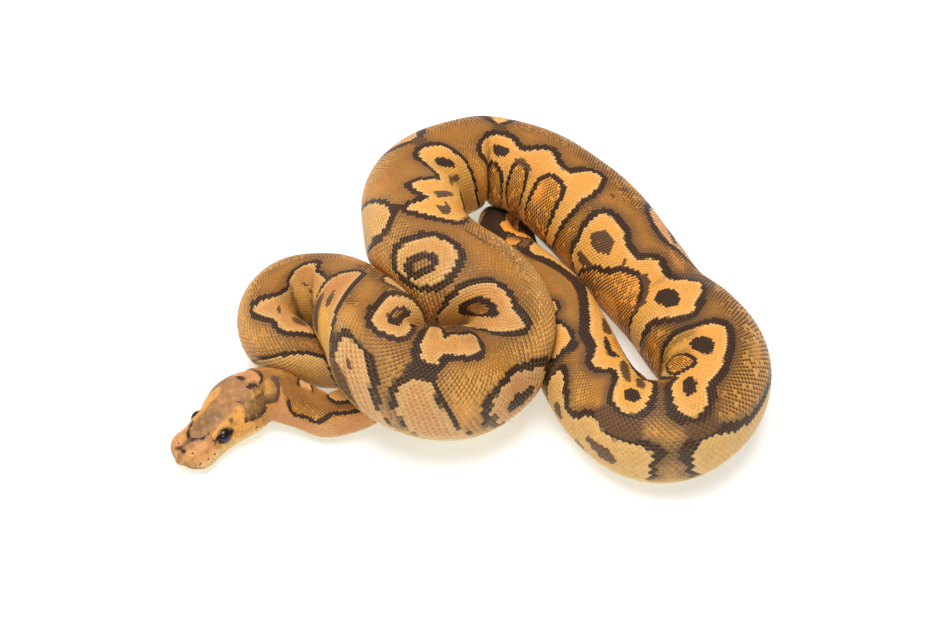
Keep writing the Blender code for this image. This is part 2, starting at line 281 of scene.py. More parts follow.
def relief(distance, angle):
    """The sum of bells, one for each swelling or hollow, on both sides of the head."""
    height = np.zeros(np.broadcast(distance, angle).shape)
    for _, where, around, rise, reach, spread in RELIEF:
        bell = ((distance - where) / reach) ** 2 + ((np.abs(angle) - around) / spread) ** 2
        height += rise * np.exp(-bell)
    return height


def outline(row, angle):
    """A superellipse: sine and cosine to the power of two over the roundness, times the half
    width and height, and on the inner side of a bend no more than the room there."""
    head = np.clip((HEAD_END + NECK_BLEND / 2 - row[:, :1]) / NECK_BLEND, 0, 1)
    half, tall = row[:, 12:13], row[:, 13:14]
    across = np.sign(np.sin(angle)) * np.abs(np.sin(angle)) ** (2 / ROUNDNESS)
    over = np.sign(np.cos(angle)) * np.abs(np.cos(angle)) ** (2 / ROUNDNESS)
    room = np.where(across > 0, row[:, 10:11], row[:, 11:12])
    across = across * half * softly_least(1.0, INSIDE_BEND * room / half, BEND_ROUNDING)
    return across * (1 - HEAD_TAPER * head * over), over * tall, head


print("the brow stands out by", relief(np.array([12.6]), np.array([46.0])).round(2), "mm")


# %% Rings that meet the floor and other lengths
def pressed(row, direction):
    """How far a ring point may go before it meets another length. Each length is a row of balls,
    and two balls meet in the plane where their surfaces cross."""
    ball = SPINE[:: round(BALL_SPACING / STEP)]
    ball_radius = (ball[:, 12] + ball[:, 13]) / 2
    radius = (row[:, 12] + row[:, 13]) / 2
    limit = np.full(direction.shape[:2], np.inf)
    for i in range(len(row)):
        apart = np.abs(ball[:, 0] - row[i, 0]) > radius[i] + ball_radius
        between = ball[apart, 1:4] - row[i, 1:4]
        far = np.linalg.norm(between, axis=1)
        plane = (far**2 + radius[i] ** 2 - ball_radius[apart] ** 2) / (2 * far) - GAP / 2
        towards = direction[i] @ (between / far[:, None]).T
        limit[i] = np.where(towards > 0.05, plane / np.maximum(towards, 0.05), np.inf).min(1)
    return limit


def rings(distance, angle):
    """Centre plus reach times direction, where the reach is cut short by neighbours and floor."""
    row = rows_at(distance)
    across, over, head = outline(row, np.radians(angle))
    offset = across[..., None] * row[:, None, 4:7] + over[..., None] * row[:, None, 7:10]
    reach = np.linalg.norm(offset, axis=2)
    direction = offset / reach[..., None]
    reach = reach + relief(row[:, :1], angle) * head
    reach = softly_least(reach, pressed(row, direction), PRESS_ROUNDING)
    floor = row[:, 3:4] / np.maximum(-direction[..., 2], 1e-6)
    reach = np.minimum(reach, floor)
    return row[:, None, 1:4] + reach[..., None] * direction


middle_ring = rings(np.array([MID_BODY]), np.array([0.0, 180.0]))[0]
print("top and foot of the ring at mid body:", middle_ring[:, 2].round(1), "mm")

# %% [markdown]
# The rings are now made once, closer together on the head. The front of the snout is a small dome.
# Two more grids hold how the points change along the body and around it, and from those comes the
# way that each point faces.

# %% The grid that all pieces are looked up on
GRID_SIDES = 240
HEAD_RINGS_END, HEAD_RING_STEP = 40.0, 0.25
NOSE_BULGE = 0.7  # how far the rounded front of the snout stands out, in millimetres
NOSE_ROWS = 6
grid_angle = np.linspace(-180, 180, GRID_SIDES + 1)
head_rings = np.arange(0, HEAD_RINGS_END, HEAD_RING_STEP)
body_distance = np.concatenate([head_rings, np.arange(HEAD_RINGS_END, LENGTH, STEP), [LENGTH]])
body_grid = rings(body_distance, grid_angle)


def end_cap(ring, way, bulge, rows):
    """Rings that close an end: the last ring shrunk by a cosine and moved out by a sine."""
    turn = np.linspace(0, np.pi / 2, rows + 1)[1:]
    middle = ring[:-1].mean(0)
    shrunk = middle + np.cos(turn)[:, None, None] * (ring - middle)
    return shrunk + np.sin(turn)[:, None, None] * bulge * way


nose_way = unit(SPINE[0, 1:4] - SPINE[4, 1:4])
nose = end_cap(body_grid[0], nose_way, NOSE_BULGE, NOSE_ROWS)[::-1]
grid_distance = np.concatenate([np.linspace(-NOSE_BULGE, 0, NOSE_ROWS + 1)[:-1], body_distance])
grid = np.concatenate([nose, body_grid]) - (*MIDDLE, 0)


def slopes(values):
    """How the grid's points change along the body and around it, for each unit of either."""
    down = np.gradient(values, grid_distance, axis=0)
    wrapped = np.concatenate([values[:, -2:-1], values, values[:, 1:2]], axis=1)
    step = grid_angle[1] - grid_angle[0]
    round_it = (wrapped[:, 2:] - wrapped[:, :-2]) / (2 * step)
    return down, round_it


grid_along, grid_around = slopes(grid)
grid_normal = unit(np.cross(grid_around, grid_along) + 1e-9)
facing = np.einsum("nad,nad->na", grid_normal, grid - grid.mean(1, keepdims=True))
grid_normal *= np.sign(np.median(facing))
grid_normal[0] = nose_way


def look_up(values, distance, angle):
    """The grid's value at any distance and angle, mixed from the four nearest grid points."""
    distance = np.clip(distance, grid_distance[0], grid_distance[-1])
    turn = (angle + 180) % 360 / (grid_angle[1] - grid_angle[0])
    i = np.clip(np.searchsorted(grid_distance, distance) - 1, 0, len(grid_distance) - 2)
    j = np.clip(turn.astype(int), 0, GRID_SIDES - 1)
    p = (distance - grid_distance[i]) / (grid_distance[i + 1] - grid_distance[i])
    p, q = p[..., None], (turn - j)[..., None]
    near = values[i, j] * (1 - q) + values[i, j + 1] * q
    return near * (1 - p) + (values[i + 1, j] * (1 - q) + values[i + 1, j + 1] * q) * p


def half_width(distance):
    """The body's half width at any distance from the snout, in millimetres."""
    return np.interp(distance, SPINE[:, 0], SPINE[:, 12])


print("grid of", grid.shape[:2], "points, lowest", round(grid[..., 2].min(), 3), "mm")

# %% [markdown]
# ## The markings
# A ball python's pattern is a chain of pale blotches with dark borders on a brown ground. Here each
# mark is a named outline of a few corners, in distance along the body and angle around it, and the
# corners are cut twice to round them. An image could hold the pattern too, but it would blur close up
# and wouldn't go round the sides. A point's colour follows from how far it is inside or outside
# each outline, so that the skin and the scales share one function and always agree.

# %% Colours
def linear(red, green, blue):
    """A colour given in everyday 0 to 255 numbers, as light: its 2.2nd power."""
    return (np.array([red, green, blue]) / 255) ** 2.2


WARMTH = np.array([1.02, 0.95, 0.66])  # pigment is this share of a colour, as gloss adds white
PAINT = {
    "back": linear(172, 116, 54),
    "side": linear(212, 148, 64),
    "low": linear(224, 182, 116),
    "belly": linear(238, 222, 194),
    "blotch": linear(238, 176, 98),
    "tan": linear(206, 144, 94),
    "gold": linear(234, 186, 98),
    "rust": linear(208, 128, 66),
    "pale": linear(214, 158, 104),
    "flank": linear(208, 146, 104),
    "cream": linear(226, 180, 116),
    "net": linear(244, 214, 172),
    "rose": linear(222, 160, 122),
    "dark": linear(56, 38, 34),
    "umber": linear(106, 76, 60),
    "orange": linear(250, 172, 78),
    "crown": linear(174, 130, 96),
    "shaded crown": linear(140, 108, 84),
    "olive": linear(158, 116, 68),
    "straw": linear(226, 168, 96),
    "apricot": linear(232, 170, 94),
    "snout": linear(218, 158, 108),
    "lip": linear(230, 192, 140),
    "pit": linear(150, 66, 46),
    "pit rim": linear(236, 194, 172),
    # the ring round the eye: partly the dark skin there, partly painted shade of the socket
    "eye ring and socket shade": linear(46, 32, 28),
}
GROUNDS = ("back", "side", "orange", "olive", "rust")  # marks of these are dotted as the ground is
DARKS = ("dark", "umber", "eye ring and socket shade")
BLOTCH_PAINTS = ("blotch", "pale", "tan")  # these turn to gold down the side
PAINT = {name: paint * WARMTH for name, paint in PAINT.items()}
print(len(PAINT), "colours")

# %% [markdown]
# Each row below is one mark. Its corners are pairs of distance in millimetres and angle in degrees,
# as they were drawn on the unrolled body from the snout to the tail. A later mark lies over an
# earlier one.

# %% Blotches of the neck, the left loop and the coil
# Name, colour, width of the border in millimetres, softness of the edge, corners.
FRONT_BLOTCHES = (
    ("neck stripe", "rose", 0, 0.3, (
        (33.6, 2), (35.4, 7), (37, 20), (38.2, 36), (39.4, 52), (40.4, 64), (42.5, 74), (41, 112),
        (29, 112), (34, 80), (36.2, 56), (36.6, 38), (35.8, 20))),
    ("neck flank", "rose", 0, 1, (
        (41, 70), (44, 64), (48, 66), (50, 44), (56, 50), (62, 60), (62, 118), (38, 118))),
    ("far neck blotch", "rose", 0.5, 0, (
        (38.4, -60), (38.9, -36), (39.8, -18), (40.8, -8), (42.2, -3), (43.8, -3), (43.4, -16),
        (42, -36), (41.4, -60))),
    ("neck blotch", "straw", 0.9, 0, (
        (50.4, -60), (50, -26), (50.6, -10), (52, 2), (54, 8), (56, 10), (60, -10), (60, -60))),
    ("loop flank", "cream", 0.9, 0, (
        (84, -43), (88, -45), (91, -49), (94, -58), (95.5, -68), (97, -85), (98.5, -105), (98, -150),
        (78, -150), (80, -110), (82, -75))),
    ("loop blotch", "pale", 1.2, 0, (
        (88.5, -5), (93, -8), (96.5, -17), (99.3, -6), (101.5, -17), (102.6, -30), (103.8, -28),
        (104.8, -12), (105.6, 0), (107, 14), (108.5, 24), (111, 33), (114, 44), (115.4, 44), (117, 27),
        (118.8, 9), (120.3, 0), (122, -3), (124, -4), (125.2, 6), (126, 21), (130, 23), (134.5, 25),
        (136, 45), (134, 100), (110, 110), (100, 60), (92, 30), (89, 10))),
    ("far bay of the coil", "tan", 0.8, 0, (
        (141.6, -60), (142.4, -36), (144, -26), (145.6, -25), (147, -34), (148.4, -60))),
    ("coil blotch A", "tan", 1.2, 0, (
        (135, 14), (137, 0), (138.5, -10), (140, -9), (141.5, -1), (143, 7), (143.9, 16), (145.6, 27),
        (147.5, 40), (149.5, 50), (152, 62), (154.6, 80), (154, 112), (138, 116), (136, 90),
        (135.5, 60), (135, 30))),
    ("coil diamond B", "pale", 1.3, 0, (
        (150.6, -14), (152, -8), (153.5, 3), (155, 10), (156.7, 10), (158.4, 6), (160.4, 2), (161, -4),
        (160.8, -20), (159.4, -34), (157.6, -46), (156, -62), (154, -82), (151, -92), (150.2, -60),
        (150, -35))),
    ("flank oblong F", "flank", 1.3, 0, (
        (155, 48), (155.6, 40), (157.2, 38), (158.8, 40), (159.7, 47), (160.5, 58), (161.6, 72),
        (164.5, 100), (168, 120), (163, 120), (159, 97), (156.4, 76), (155, 60))),
    ("coil blotch C", "pale", 1.6, 0, (
        (165, -48), (164.9, -5), (165.4, 6), (166.4, 15), (167.6, 21), (169.2, 24), (170.2, 22),
        (170.3, 10), (172, 9), (175, 11), (179, 15), (181.4, 16), (183, 11), (184.4, 4), (186, -3),
        (184, -6), (180, -9), (176, -14), (173, -15), (171.6, -8), (170.6, -14), (170, -30),
        (168, -40))),
    ("flank oblong D", "flank", 1, 0, (
        (165.1, 58), (165.4, 46), (166.6, 40), (168.2, 39), (169.6, 42), (170.4, 50), (171.4, 60),
        (172.8, 72), (174.2, 84), (176.4, 98), (180, 122), (172, 124), (169.4, 106), (167.4, 92),
        (165.9, 78))),
    ("flank blotch E", "flank", 1.9, 0, (
        (180.4, 78), (181.2, 68), (182.8, 62), (184.6, 61), (186.2, 57), (188.6, 56), (190.2, 60),
        (191.6, 68), (193, 76), (193.6, 88), (192, 102), (190, 116), (184, 118), (181.2, 102),
        (180, 90))),
    ("coil blotch H", "pale", 1.2, 0, (
        (187, -34), (190, -12), (192.6, -1), (194, 12), (195.4, 23), (196.6, 31), (198, 21), (199.6, 9),
        (202, 3), (204.4, -3), (206.6, -12), (208.8, -22), (210.6, -34), (211.8, -46), (212.5, -60),
        (213.4, -78), (214.6, -95), (213, -115), (204, -115), (196, -70))),
)
print(len(FRONT_BLOTCHES), "blotches from the neck to the coil")

# %% Blotches of the crossing, the high bend and the arch
ARCH_BLOTCHES = (
    ("ring I", "pale", 1.4, 0, (
        (216, -18), (215.8, -38), (216.8, -52), (218.6, -60), (221, -67), (224, -67), (226.4, -61),
        (227.4, -50), (227, -38), (226, -27), (224.8, -16), (222.6, -9), (219.6, -6), (217.4, -9))),
    ("pale blotch J", "pale", 1.2, 0, (
        (233.4, -42), (233.8, -54), (235.2, -72), (237.2, -92), (241, -118), (252, -100), (250, -78),
        (246, -62), (243, -51), (240.2, -41), (238, -33), (236.2, -28), (234.4, -32))),
    ("blotches M and O", "blotch", 1.4, 0, (
        (223, 28), (224.5, 17), (226, 12), (228.5, 5), (231, -1), (233, -8), (234.4, -12), (235, -3),
        (235.4, 9), (236.4, 13), (238, 7), (240, 1), (242, -2), (243.6, -2), (244.4, 6), (245.4, 16),
        (246.2, 25), (247.2, 32), (249, 32), (252, 27), (255, 20), (258, 12), (260.2, 3), (263, -1),
        (266.2, -1), (268.8, 3), (270.8, 9), (271.9, 17), (272.9, 26), (275, 34), (275.4, 44),
        (276.4, 62), (278, 92), (281, 118), (272, 118), (262, 90), (250, 62), (240, 62), (228, 48))),
    ("first far bay of the arch", "pale", 1.5, 0.3, (
        (263, -62), (264.8, -38), (266.6, -26), (268.2, -21), (269.8, -24), (271.6, -34), (274, -62))),
    ("second far bay of the arch", "apricot", 1.3, 0.3, (
        (287.5, -62), (288.8, -32), (290.4, -15), (291.6, -14), (293, -28), (294.6, -62))),
    ("blotch Q", "blotch", 1.5, 0, (
        (282.6, 30), (286, 24), (288.6, 19), (290, 10), (292.4, 5), (295, 5), (297.4, 10), (299.6, 17),
        (301.4, 18), (303.6, 13), (305.8, 6), (307.8, 2), (310, 2), (312.6, 8), (316, 11), (319.2, 9),
        (320.4, 0), (322, -6), (324.4, -13), (326.4, -10), (328, -1), (328.9, 10), (328.4, 25),
        (329.2, 40), (328.4, 56), (328.2, 76), (327, 112), (286, 112), (284, 70), (287.6, 66),
        (285, 50))),
    ("blotch R", "blotch", 1.7, 0, (
        (336, 30), (336.2, 17), (337.6, 11), (341, 9), (346, 9), (348, 15), (352, 18), (355, 19),
        (356.2, 11), (357.6, 2), (359, -1), (361.4, 2), (366, 4), (370, 2), (371.8, -6), (373.6, -13),
        (375, -18), (376.8, -14), (379, -2), (381.4, 6), (382.8, 14), (381.6, 26), (379.4, 35),
        (376.8, 46), (375.2, 57), (374.6, 76), (373.6, 102), (371, 114), (344, 114), (340, 95),
        (338, 80), (337.8, 68), (338.2, 58), (337, 48))),
    ("far blotch of the arch", "rose", 1.6, 0.4, (
        (337.6, -74), (338.6, -46), (340.6, -38), (344, -32), (349, -28), (354.4, -29), (356, -40),
        (362, -50), (366, -74))),
)
print(len(ARCH_BLOTCHES), "blotches from the crossing to the end of the arch")

# %% Blotches of the right loop, the rear body and the tail
REAR_BLOTCHES = (
    ("blotch U", "blotch", 1.9, 0, (
        (385.6, 46), (387.4, 32), (388.8, 20), (389, 8), (389.9, -1), (391.4, -7), (395, -7), (400, -7),
        (406, -9), (410.4, -11), (411.6, -20), (413, -28), (415, -33), (416.6, -31), (417.8, -20),
        (418, -8), (417.2, 2), (417, 13), (414, 18), (412.6, 16), (412.6, 28), (414, 46), (410, 72),
        (397, 104), (391, 92), (386, 72))),
    ("blotches V and Y", "blotch", 1.5, 0, (
        (422.4, 20), (422.7, 4), (423.3, -9), (424.4, -21), (426, -27), (428.6, -25), (430.8, -18),
        (432.2, -8), (433.8, 2), (436, 9), (438.6, 15), (440, 12), (441, 3), (443, -4), (444.8, -4),
        (447, 3), (449.6, 10), (452, 14), (455, 11), (458, 17), (462, 24), (468, 34), (473, 43),
        (478, 54), (470, 66), (455, 64), (446, 56), (440, 46), (434, 34), (428, 32), (423, 27))),
    ("cream blotch W", "cream", 2.2, 0, (
        (392, -96), (396, -82), (402, -78), (406, -77), (409.4, -75), (411.4, -68), (413.6, -61),
        (416.2, -60), (417, -72), (417.2, -86), (417, -104), (415, -128), (396, -130))),
    ("cream blotch X", "cream", 1.7, 0, (
        (422.2, -76), (422.4, -66), (423.8, -59), (426.2, -63), (429.4, -63), (430.4, -54), (432, -50),
        (434, -56), (436, -66), (437.6, -75), (440.4, -77), (441.8, -66), (443.6, -54), (446, -45),
        (447.8, -43), (448.8, -56), (449.2, -76), (448, -102), (445, -128), (424, -128), (422.4, -100),
        (422.9, -88))),
    ("far rear band", "dark", 0, 0.3, (
        (453, -2), (455, -9), (460, -20), (465, -16), (480, -16), (482, -40), (470, -50), (452, -50),
        (450, -12))),
    ("rear blotch Z", "apricot", 1, 0, (
        (452.4, -34), (452.8, -52), (462, -52), (462, -20), (459, -13), (457, -10), (455, -12),
        (453.8, -20))),
    ("small rear blotch", "apricot", 0.8, 0, (
        (465, -40), (465.4, -16), (467, -10), (469.6, -12), (471, -40))),
    ("last rear blotch", "blotch", 0.9, 0, (
        (480, 50), (480, 38), (484, 31), (488, 26), (490.4, 18), (491.6, 10), (494, 5), (496.6, 8),
        (499, 26), (502, 52), (496, 90), (484, 90))),
    ("first tail blotch", "orange", 0.6, 0, (
        (501, -18), (505, -24), (505.4, -4), (503.4, 8), (501, 4))),
    ("side of the tail", "orange", 0.6, 0, (
        (503.4, 16), (505.6, 8), (507.8, 4), (508.8, -6), (511, -9), (513.2, -4), (513.8, 15),
        (514.6, 32), (517, 44), (520, 49), (523.4, 47), (526, 40), (528, -10), (531, -10), (533, 30),
        (536, 60), (536, 120), (503, 120))),
)
BLOTCHES = FRONT_BLOTCHES + ARCH_BLOTCHES + REAR_BLOTCHES
print(len(BLOTCHES), "blotches in all")

# %% Islands in the blotches
# Ground-coloured islands inside the blotches, under arches of dark border.
ISLANDS = (
    ("island Q1", "orange", 1.2, 0, (
        (291, 60), (292.4, 53), (294.6, 53), (296.4, 62), (298, 80), (299, 114), (288, 114),
        (288.6, 76))),
    ("island Q2", "orange", 1.2, 0, (
        (301.4, 42), (303, 35), (305.2, 39), (307, 48), (308.4, 60), (309, 76), (309, 95), (306, 114),
        (302.6, 100), (301.2, 76), (301.2, 56))),
    ("island Q3", "orange", 1.2, 0, (
        (313.8, 42), (314.6, 29), (317, 27), (320.6, 28), (322, 36), (323, 55), (323.4, 76),
        (323.4, 95), (322, 114), (313.8, 114), (313.6, 90), (314.2, 60))),
    ("island R1", "orange", 1.5, 0, (
        (355.4, 42), (357.4, 35), (360, 31), (362.6, 33), (365, 42), (366.8, 52), (367.4, 62),
        (366.8, 76), (367.2, 90), (368, 114), (342, 114), (342.4, 95), (344.6, 84), (346.6, 77),
        (347.6, 69), (349.4, 65), (351.8, 62), (353.6, 52))),
    ("island U1", "orange", 1.1, 0, (
        (403, 34), (404, 22), (405.8, 16), (408.2, 19), (410.6, 25), (411.7, 34), (410.6, 46),
        (406, 60), (402.2, 56), (402.4, 42))),
    ("cheek patch", "olive", 0, 0.2, (
        (21.2, 20), (22.4, 32), (21.4, 46), (19.8, 58), (19.3, 67), (22, 70), (26, 76), (30, 80),
        (33.2, 81), (33.8, 74), (33.5, 62), (34.8, 54), (36, 46), (35.8, 33), (35, 18), (34.2, 4),
        (33.4, -8), (31.6, 2), (30.6, 20), (27, 14))),
)
print(len(ISLANDS), "islands")

# %% Smudges
# Soft smudges that warm or darken the coat, a few of them painted shade in folds and under the crossing
# length. They have no border: name, colour, softness, corners.
SMUDGES = (
    ("shaded crown", "shaded crown", 3, (
        (6.2, -18), (8, -29), (11, -34), (16, -26), (18, 0), (17, 24), (12, 30), (8, 24), (6.2, 8))),
    ("yellow of the cheek patch", "straw", 1.6, (
        (25.6, 18), (28, 14), (31.4, 22), (32.4, 32), (30, 40), (26, 40))),
    ("gold of the nape", "straw", 1.4, (
        (31.6, 2), (33.6, -6), (34.8, 22), (34.8, 44), (32.6, 48), (32, 24))),
    ("foot of the cheek patch", "umber", 1.1, (
        (19.3, 60), (22, 62), (27, 68), (33.4, 70), (33.4, 82), (29.6, 81), (25.6, 77), (21.6, 71),
        (19, 68))),
    ("pink of the nape", "rose", 0.5, (
        (24.6, -84), (25, -60), (25.2, -40), (26.8, -30), (27.6, -14), (26.4, -4), (28, -1), (30, 4),
        (31, 11), (31.6, 0), (30.8, -14), (29.6, -30), (28.8, -48), (28.6, -84))),
    ("brown of the neck", "back", 2, ((37, -20), (48, -30), (50, 0), (56, 22), (50, 26), (38, 12))),
    ("lower edge of the neck ground", "umber", 1.6, (
        (40.6, 54), (48.4, 54), (48.2, 66), (44, 62), (42.4, 69))),
    ("arm of the loop blotch", "tan", 1.2, (
        (119, 3), (124.4, 0), (127, 30), (128, 52), (122, 58), (118.4, 30))),
    # painted shade: the crease where the loop blotch bends is darkened
    ("fold of the loop blotch", "umber", 1.2, (
        (90.4, 4), (93, -1), (96.4, 2), (98, 22), (94, 34), (91, 20))),
    ("stripe of the loop blotch", "olive", 1.6, (
        (105, 34), (109, 48), (113, 58), (118.4, 62), (119, 74), (112, 70), (107, 58), (104, 44))),
    ("yellow foot of blotch A", "blotch", 2.4, (
        (140, 44), (147, 46), (154, 76), (150, 112), (143, 104), (141, 66))),
    # the fold where two loops touch: partly dark coat, partly painted shade
    ("fold of blotch A", "umber", 1.2, (
        (136, 36), (138.8, 34), (140.8, 60), (142.6, 88), (137, 94), (135, 60))),
    ("edge of the crossing", "umber", 1, (
        (211, 19), (213, 14), (217, 12), (221, 14), (221, 19), (216, 20))),
    # painted shadow of the crossing length that lies over the coil here
    ("shade above blotch C", "umber", 1.6, (
        (170.6, -22), (174, -20), (180, -14), (186, -8), (192, -6), (192, -16), (187, -24), (187, -44),
        (171, -44))),
    ("yellow end of blotch H", "blotch", 3, (
        (204, -84), (212, -80), (214.6, -96), (212, -116), (204, -112))),
    ("foot of blotch M", "orange", 2.4, ((222, 30), (232, 32), (240, 46), (246, 62), (228, 62))),
    ("orange patch of the arch", "rust", 2, (
        (277.6, -22), (280.6, -20), (280.8, -4), (279, 2), (277.8, -6))),
    ("orange flecks of the bend", "rust", 3, (
        (243, -36), (254, -40), (257, -28), (255, -12), (246, -26))),
    ("orange patch past the arch", "rust", 1.6, ((332, -24), (334.4, -24), (334.4, -8), (332.2, -10))),
    ("pink back past the arch", "tan", 3, ((354, -30), (366, -34), (367, -8), (356, -12))),
    ("hill between R and U", "umber", 1.6, (
        (362, -4), (366, -10), (368.4, -26), (368.4, -46), (376, -46), (378.4, -28), (381, -10),
        (382, 2), (378.6, -8), (376.6, -19), (373.6, -18), (371, -2))),
    ("bridge from U to W", "umber", 1, (
        (410.6, -22), (411.6, -36), (412, -60), (417.6, -60), (418.6, -44), (417.6, -30),
        (414.6, -42))),
    ("bridge from V to X", "umber", 1, (
        (423, -24), (423, -60), (430.6, -60), (434, -44), (431.6, -22), (426.6, -32))),
    ("stem of the first bay", "umber", 0.8, ((265.6, -22), (271, -22), (270, -2), (265.4, -4))),
    ("stem of the second bay", "umber", 0.8, ((288.8, -16), (293.6, -16), (294.4, 0), (289.6, 2))),
    ("rear streak", "olive", 2, ((456, 2), (470, 0), (492, -8), (486, 8), (474, 20), (462, 12))),
)
print(len(SMUDGES), "smudges")

# %% Spots of the head and the coil
# Name, colour, softness, corners.
FRONT_SPOTS = (
    # the ring round the eye: partly the dark skin there, partly painted shade of the socket
    ("eye surround", "eye ring and socket shade", 0.5, (
        (12.2, 38), (14.2, 44), (15.7, 57), (15.9, 72), (14.8, 84), (13, 88), (10.8, 85), (9.6, 74),
        (9.3, 60), (9.8, 49), (11.2, 44))),
    ("smudge behind the brow", "umber", 1, (
        (15.8, 32), (17.4, 33), (17.8, 42), (16.8, 56), (15.2, 50))),
    ("right crown smudge", "umber", 0.8, ((16, -30), (16.9, -28), (17, -18), (15.9, -18))),
    ("left crown smudge", "umber", 0.8, ((14.8, 9), (16.2, 10), (16.6, 20), (15.6, 18))),
    ("nape spindle", "dark", 0.2, (
        (25.5, -46), (26.5, -34), (27.3, -18), (26.9, -9), (26, -13), (25.5, -30))),
    ("nape wedge", "dark", 0.2, (
        (25.8, 3), (27.4, -2), (29, 2), (30.2, 8), (31.4, 21), (30, 16), (28, 12), (26.2, 16),
        (26.8, 9))),
    ("lip smudge", "umber", 0.4, ((20.8, 86), (23.4, 89), (23.4, 94), (21.2, 93))),
    ("spot on the loop", "umber", 0.3, ((99.4, 2), (102.4, 4), (103.4, 16), (101.4, 14))),
    ("upper spot on the arm", "umber", 0.3, ((120.6, 36), (122.6, 36), (124.4, 46), (121.8, 45))),
    ("lower spot on the arm", "umber", 0.3, ((123.6, 49), (127, 51), (128.4, 59), (124.4, 57))),
    ("spot A", "umber", 0.3, (
        (139.8, 24), (141.6, 27), (143.9, 38), (144.4, 48), (142, 49), (141, 38))),
    ("bar B", "dark", 0, (
        (152.8, -49), (155.2, -48), (157, -30), (158.6, -13), (157.2, -3), (155.4, -5), (153, -24))),
    ("core of bar B", "back", 0.3, (
        (153.8, -34), (155.2, -34), (156.4, -18), (155.4, -12), (154.2, -20))),
    ("join of C and D", "dark", 0, (
        (165.8, 20), (170.6, 20), (170.6, 32), (170.4, 41), (168, 36), (164.8, 42), (164.2, 34))),
    ("fleck F", "umber", 0.2, ((156.6, 57), (158, 57), (159, 66), (157.4, 66))),
    ("foot of F", "umber", 0.4, ((155, 72), (157.4, 72), (160, 90), (161, 112), (157, 108), (155, 90))),
    ("bar E", "dark", 0, (
        (183, 86), (184.8, 80), (188.4, 81), (191, 86), (190.8, 95), (188, 101), (185, 98), (183, 93))),
    ("bar H", "dark", 0, (
        (197.6, -8), (198.6, -1), (200.6, -10), (203.2, -22), (206.2, -36), (209, -50), (210.6, -66),
        (210, -78), (207.6, -80), (205, -72), (201.6, -56), (199.4, -38), (198.4, -22))),
    ("core of bar H", "back", 0.3, (
        (200, -26), (201.6, -26), (204.6, -40), (207.4, -54), (208.4, -67), (206.4, -68), (203, -56),
        (200.6, -42))),
)
print(len(FRONT_SPOTS), "spots from the head to the coil")

# %% Spots of the crossing, the high bend and the arch
ARCH_SPOTS = (
    ("arch of ring I", "dark", 0, (
        (218, -28), (218.8, -44), (220.4, -58), (222.4, -66), (224.8, -54), (223.8, -40), (222.2, -29),
        (220.4, -24))),
    ("core of ring I", "back", 0, (
        (219.8, -36), (220.6, -46), (222, -55), (222.6, -46), (221.6, -37), (220.6, -33))),
    ("point of J", "dark", 0.2, ((233.2, -30), (239, -31), (236.4, -20), (235.4, -8), (234.6, -20))),
    ("spot M1", "umber", 0, (
        (227.2, 18), (229, 13), (232, 14), (232.4, 20), (231, 25), (235, 27), (233, 32), (229, 28),
        (227.6, 22))),
    ("spot M2", "umber", 0.2, (
        (236, 22), (238.2, 18), (240, 19), (240, 27), (242, 34), (242.6, 44), (241, 46), (238.6, 36),
        (236.4, 27))),
    ("foot of O", "umber", 1, (
        (245, 46), (250, 43), (259, 45), (266, 46), (268, 55), (262, 62), (252, 57))),
    ("spot O", "dark", 0, (
        (260, 22), (262, 18), (265.4, 19), (267.6, 26), (269.4, 38), (266.8, 41), (262.8, 35),
        (260, 29))),
    ("spot Q", "dark", 0.2, (
        (290.2, 34), (291, 24), (293, 20), (297.6, 21), (297.2, 31), (295, 36), (291.4, 38))),
    ("peak of Q2", "umber", 0.2, (
        (299.6, 33), (302, 27), (305, 29), (308, 34), (307.6, 42), (304, 36), (301, 39))),
    ("spot R1", "umber", 0, (
        (340, 35), (341.2, 26), (343.4, 22), (346.8, 24), (348.4, 32), (349, 39), (347.4, 44),
        (345, 50), (342.2, 50), (340, 43))),
    ("heart of R1", "olive", 0.4, ((343, 36), (344.4, 36), (344.4, 44), (343, 43))),
    ("spot R2", "umber", 0, ((339.8, 66), (343, 63), (346.6, 66), (346.6, 74), (342, 78), (339.8, 74))),
    ("spot R3", "dark", 0, (
        (370.6, 23), (371.8, 14), (374, 8), (376.6, 10), (378.6, 18), (377.4, 28), (375, 33),
        (371.6, 33))),
    ("fleck past the arch", "umber", 0.3, ((331.2, -30), (333.4, -32), (332.6, -16), (331.2, -18))),
    ("lower fleck past the arch", "umber", 0.3, ((331.2, -8), (334, -8), (333.4, -3), (331.6, -3))),
    ("far bar of the arch", "umber", 0.4, (
        (344, -60), (347, -50), (351, -42), (354.6, -36), (355, -44), (352, -52), (350, -62))),
)
print(len(ARCH_SPOTS), "spots from the crossing to the end of the arch")

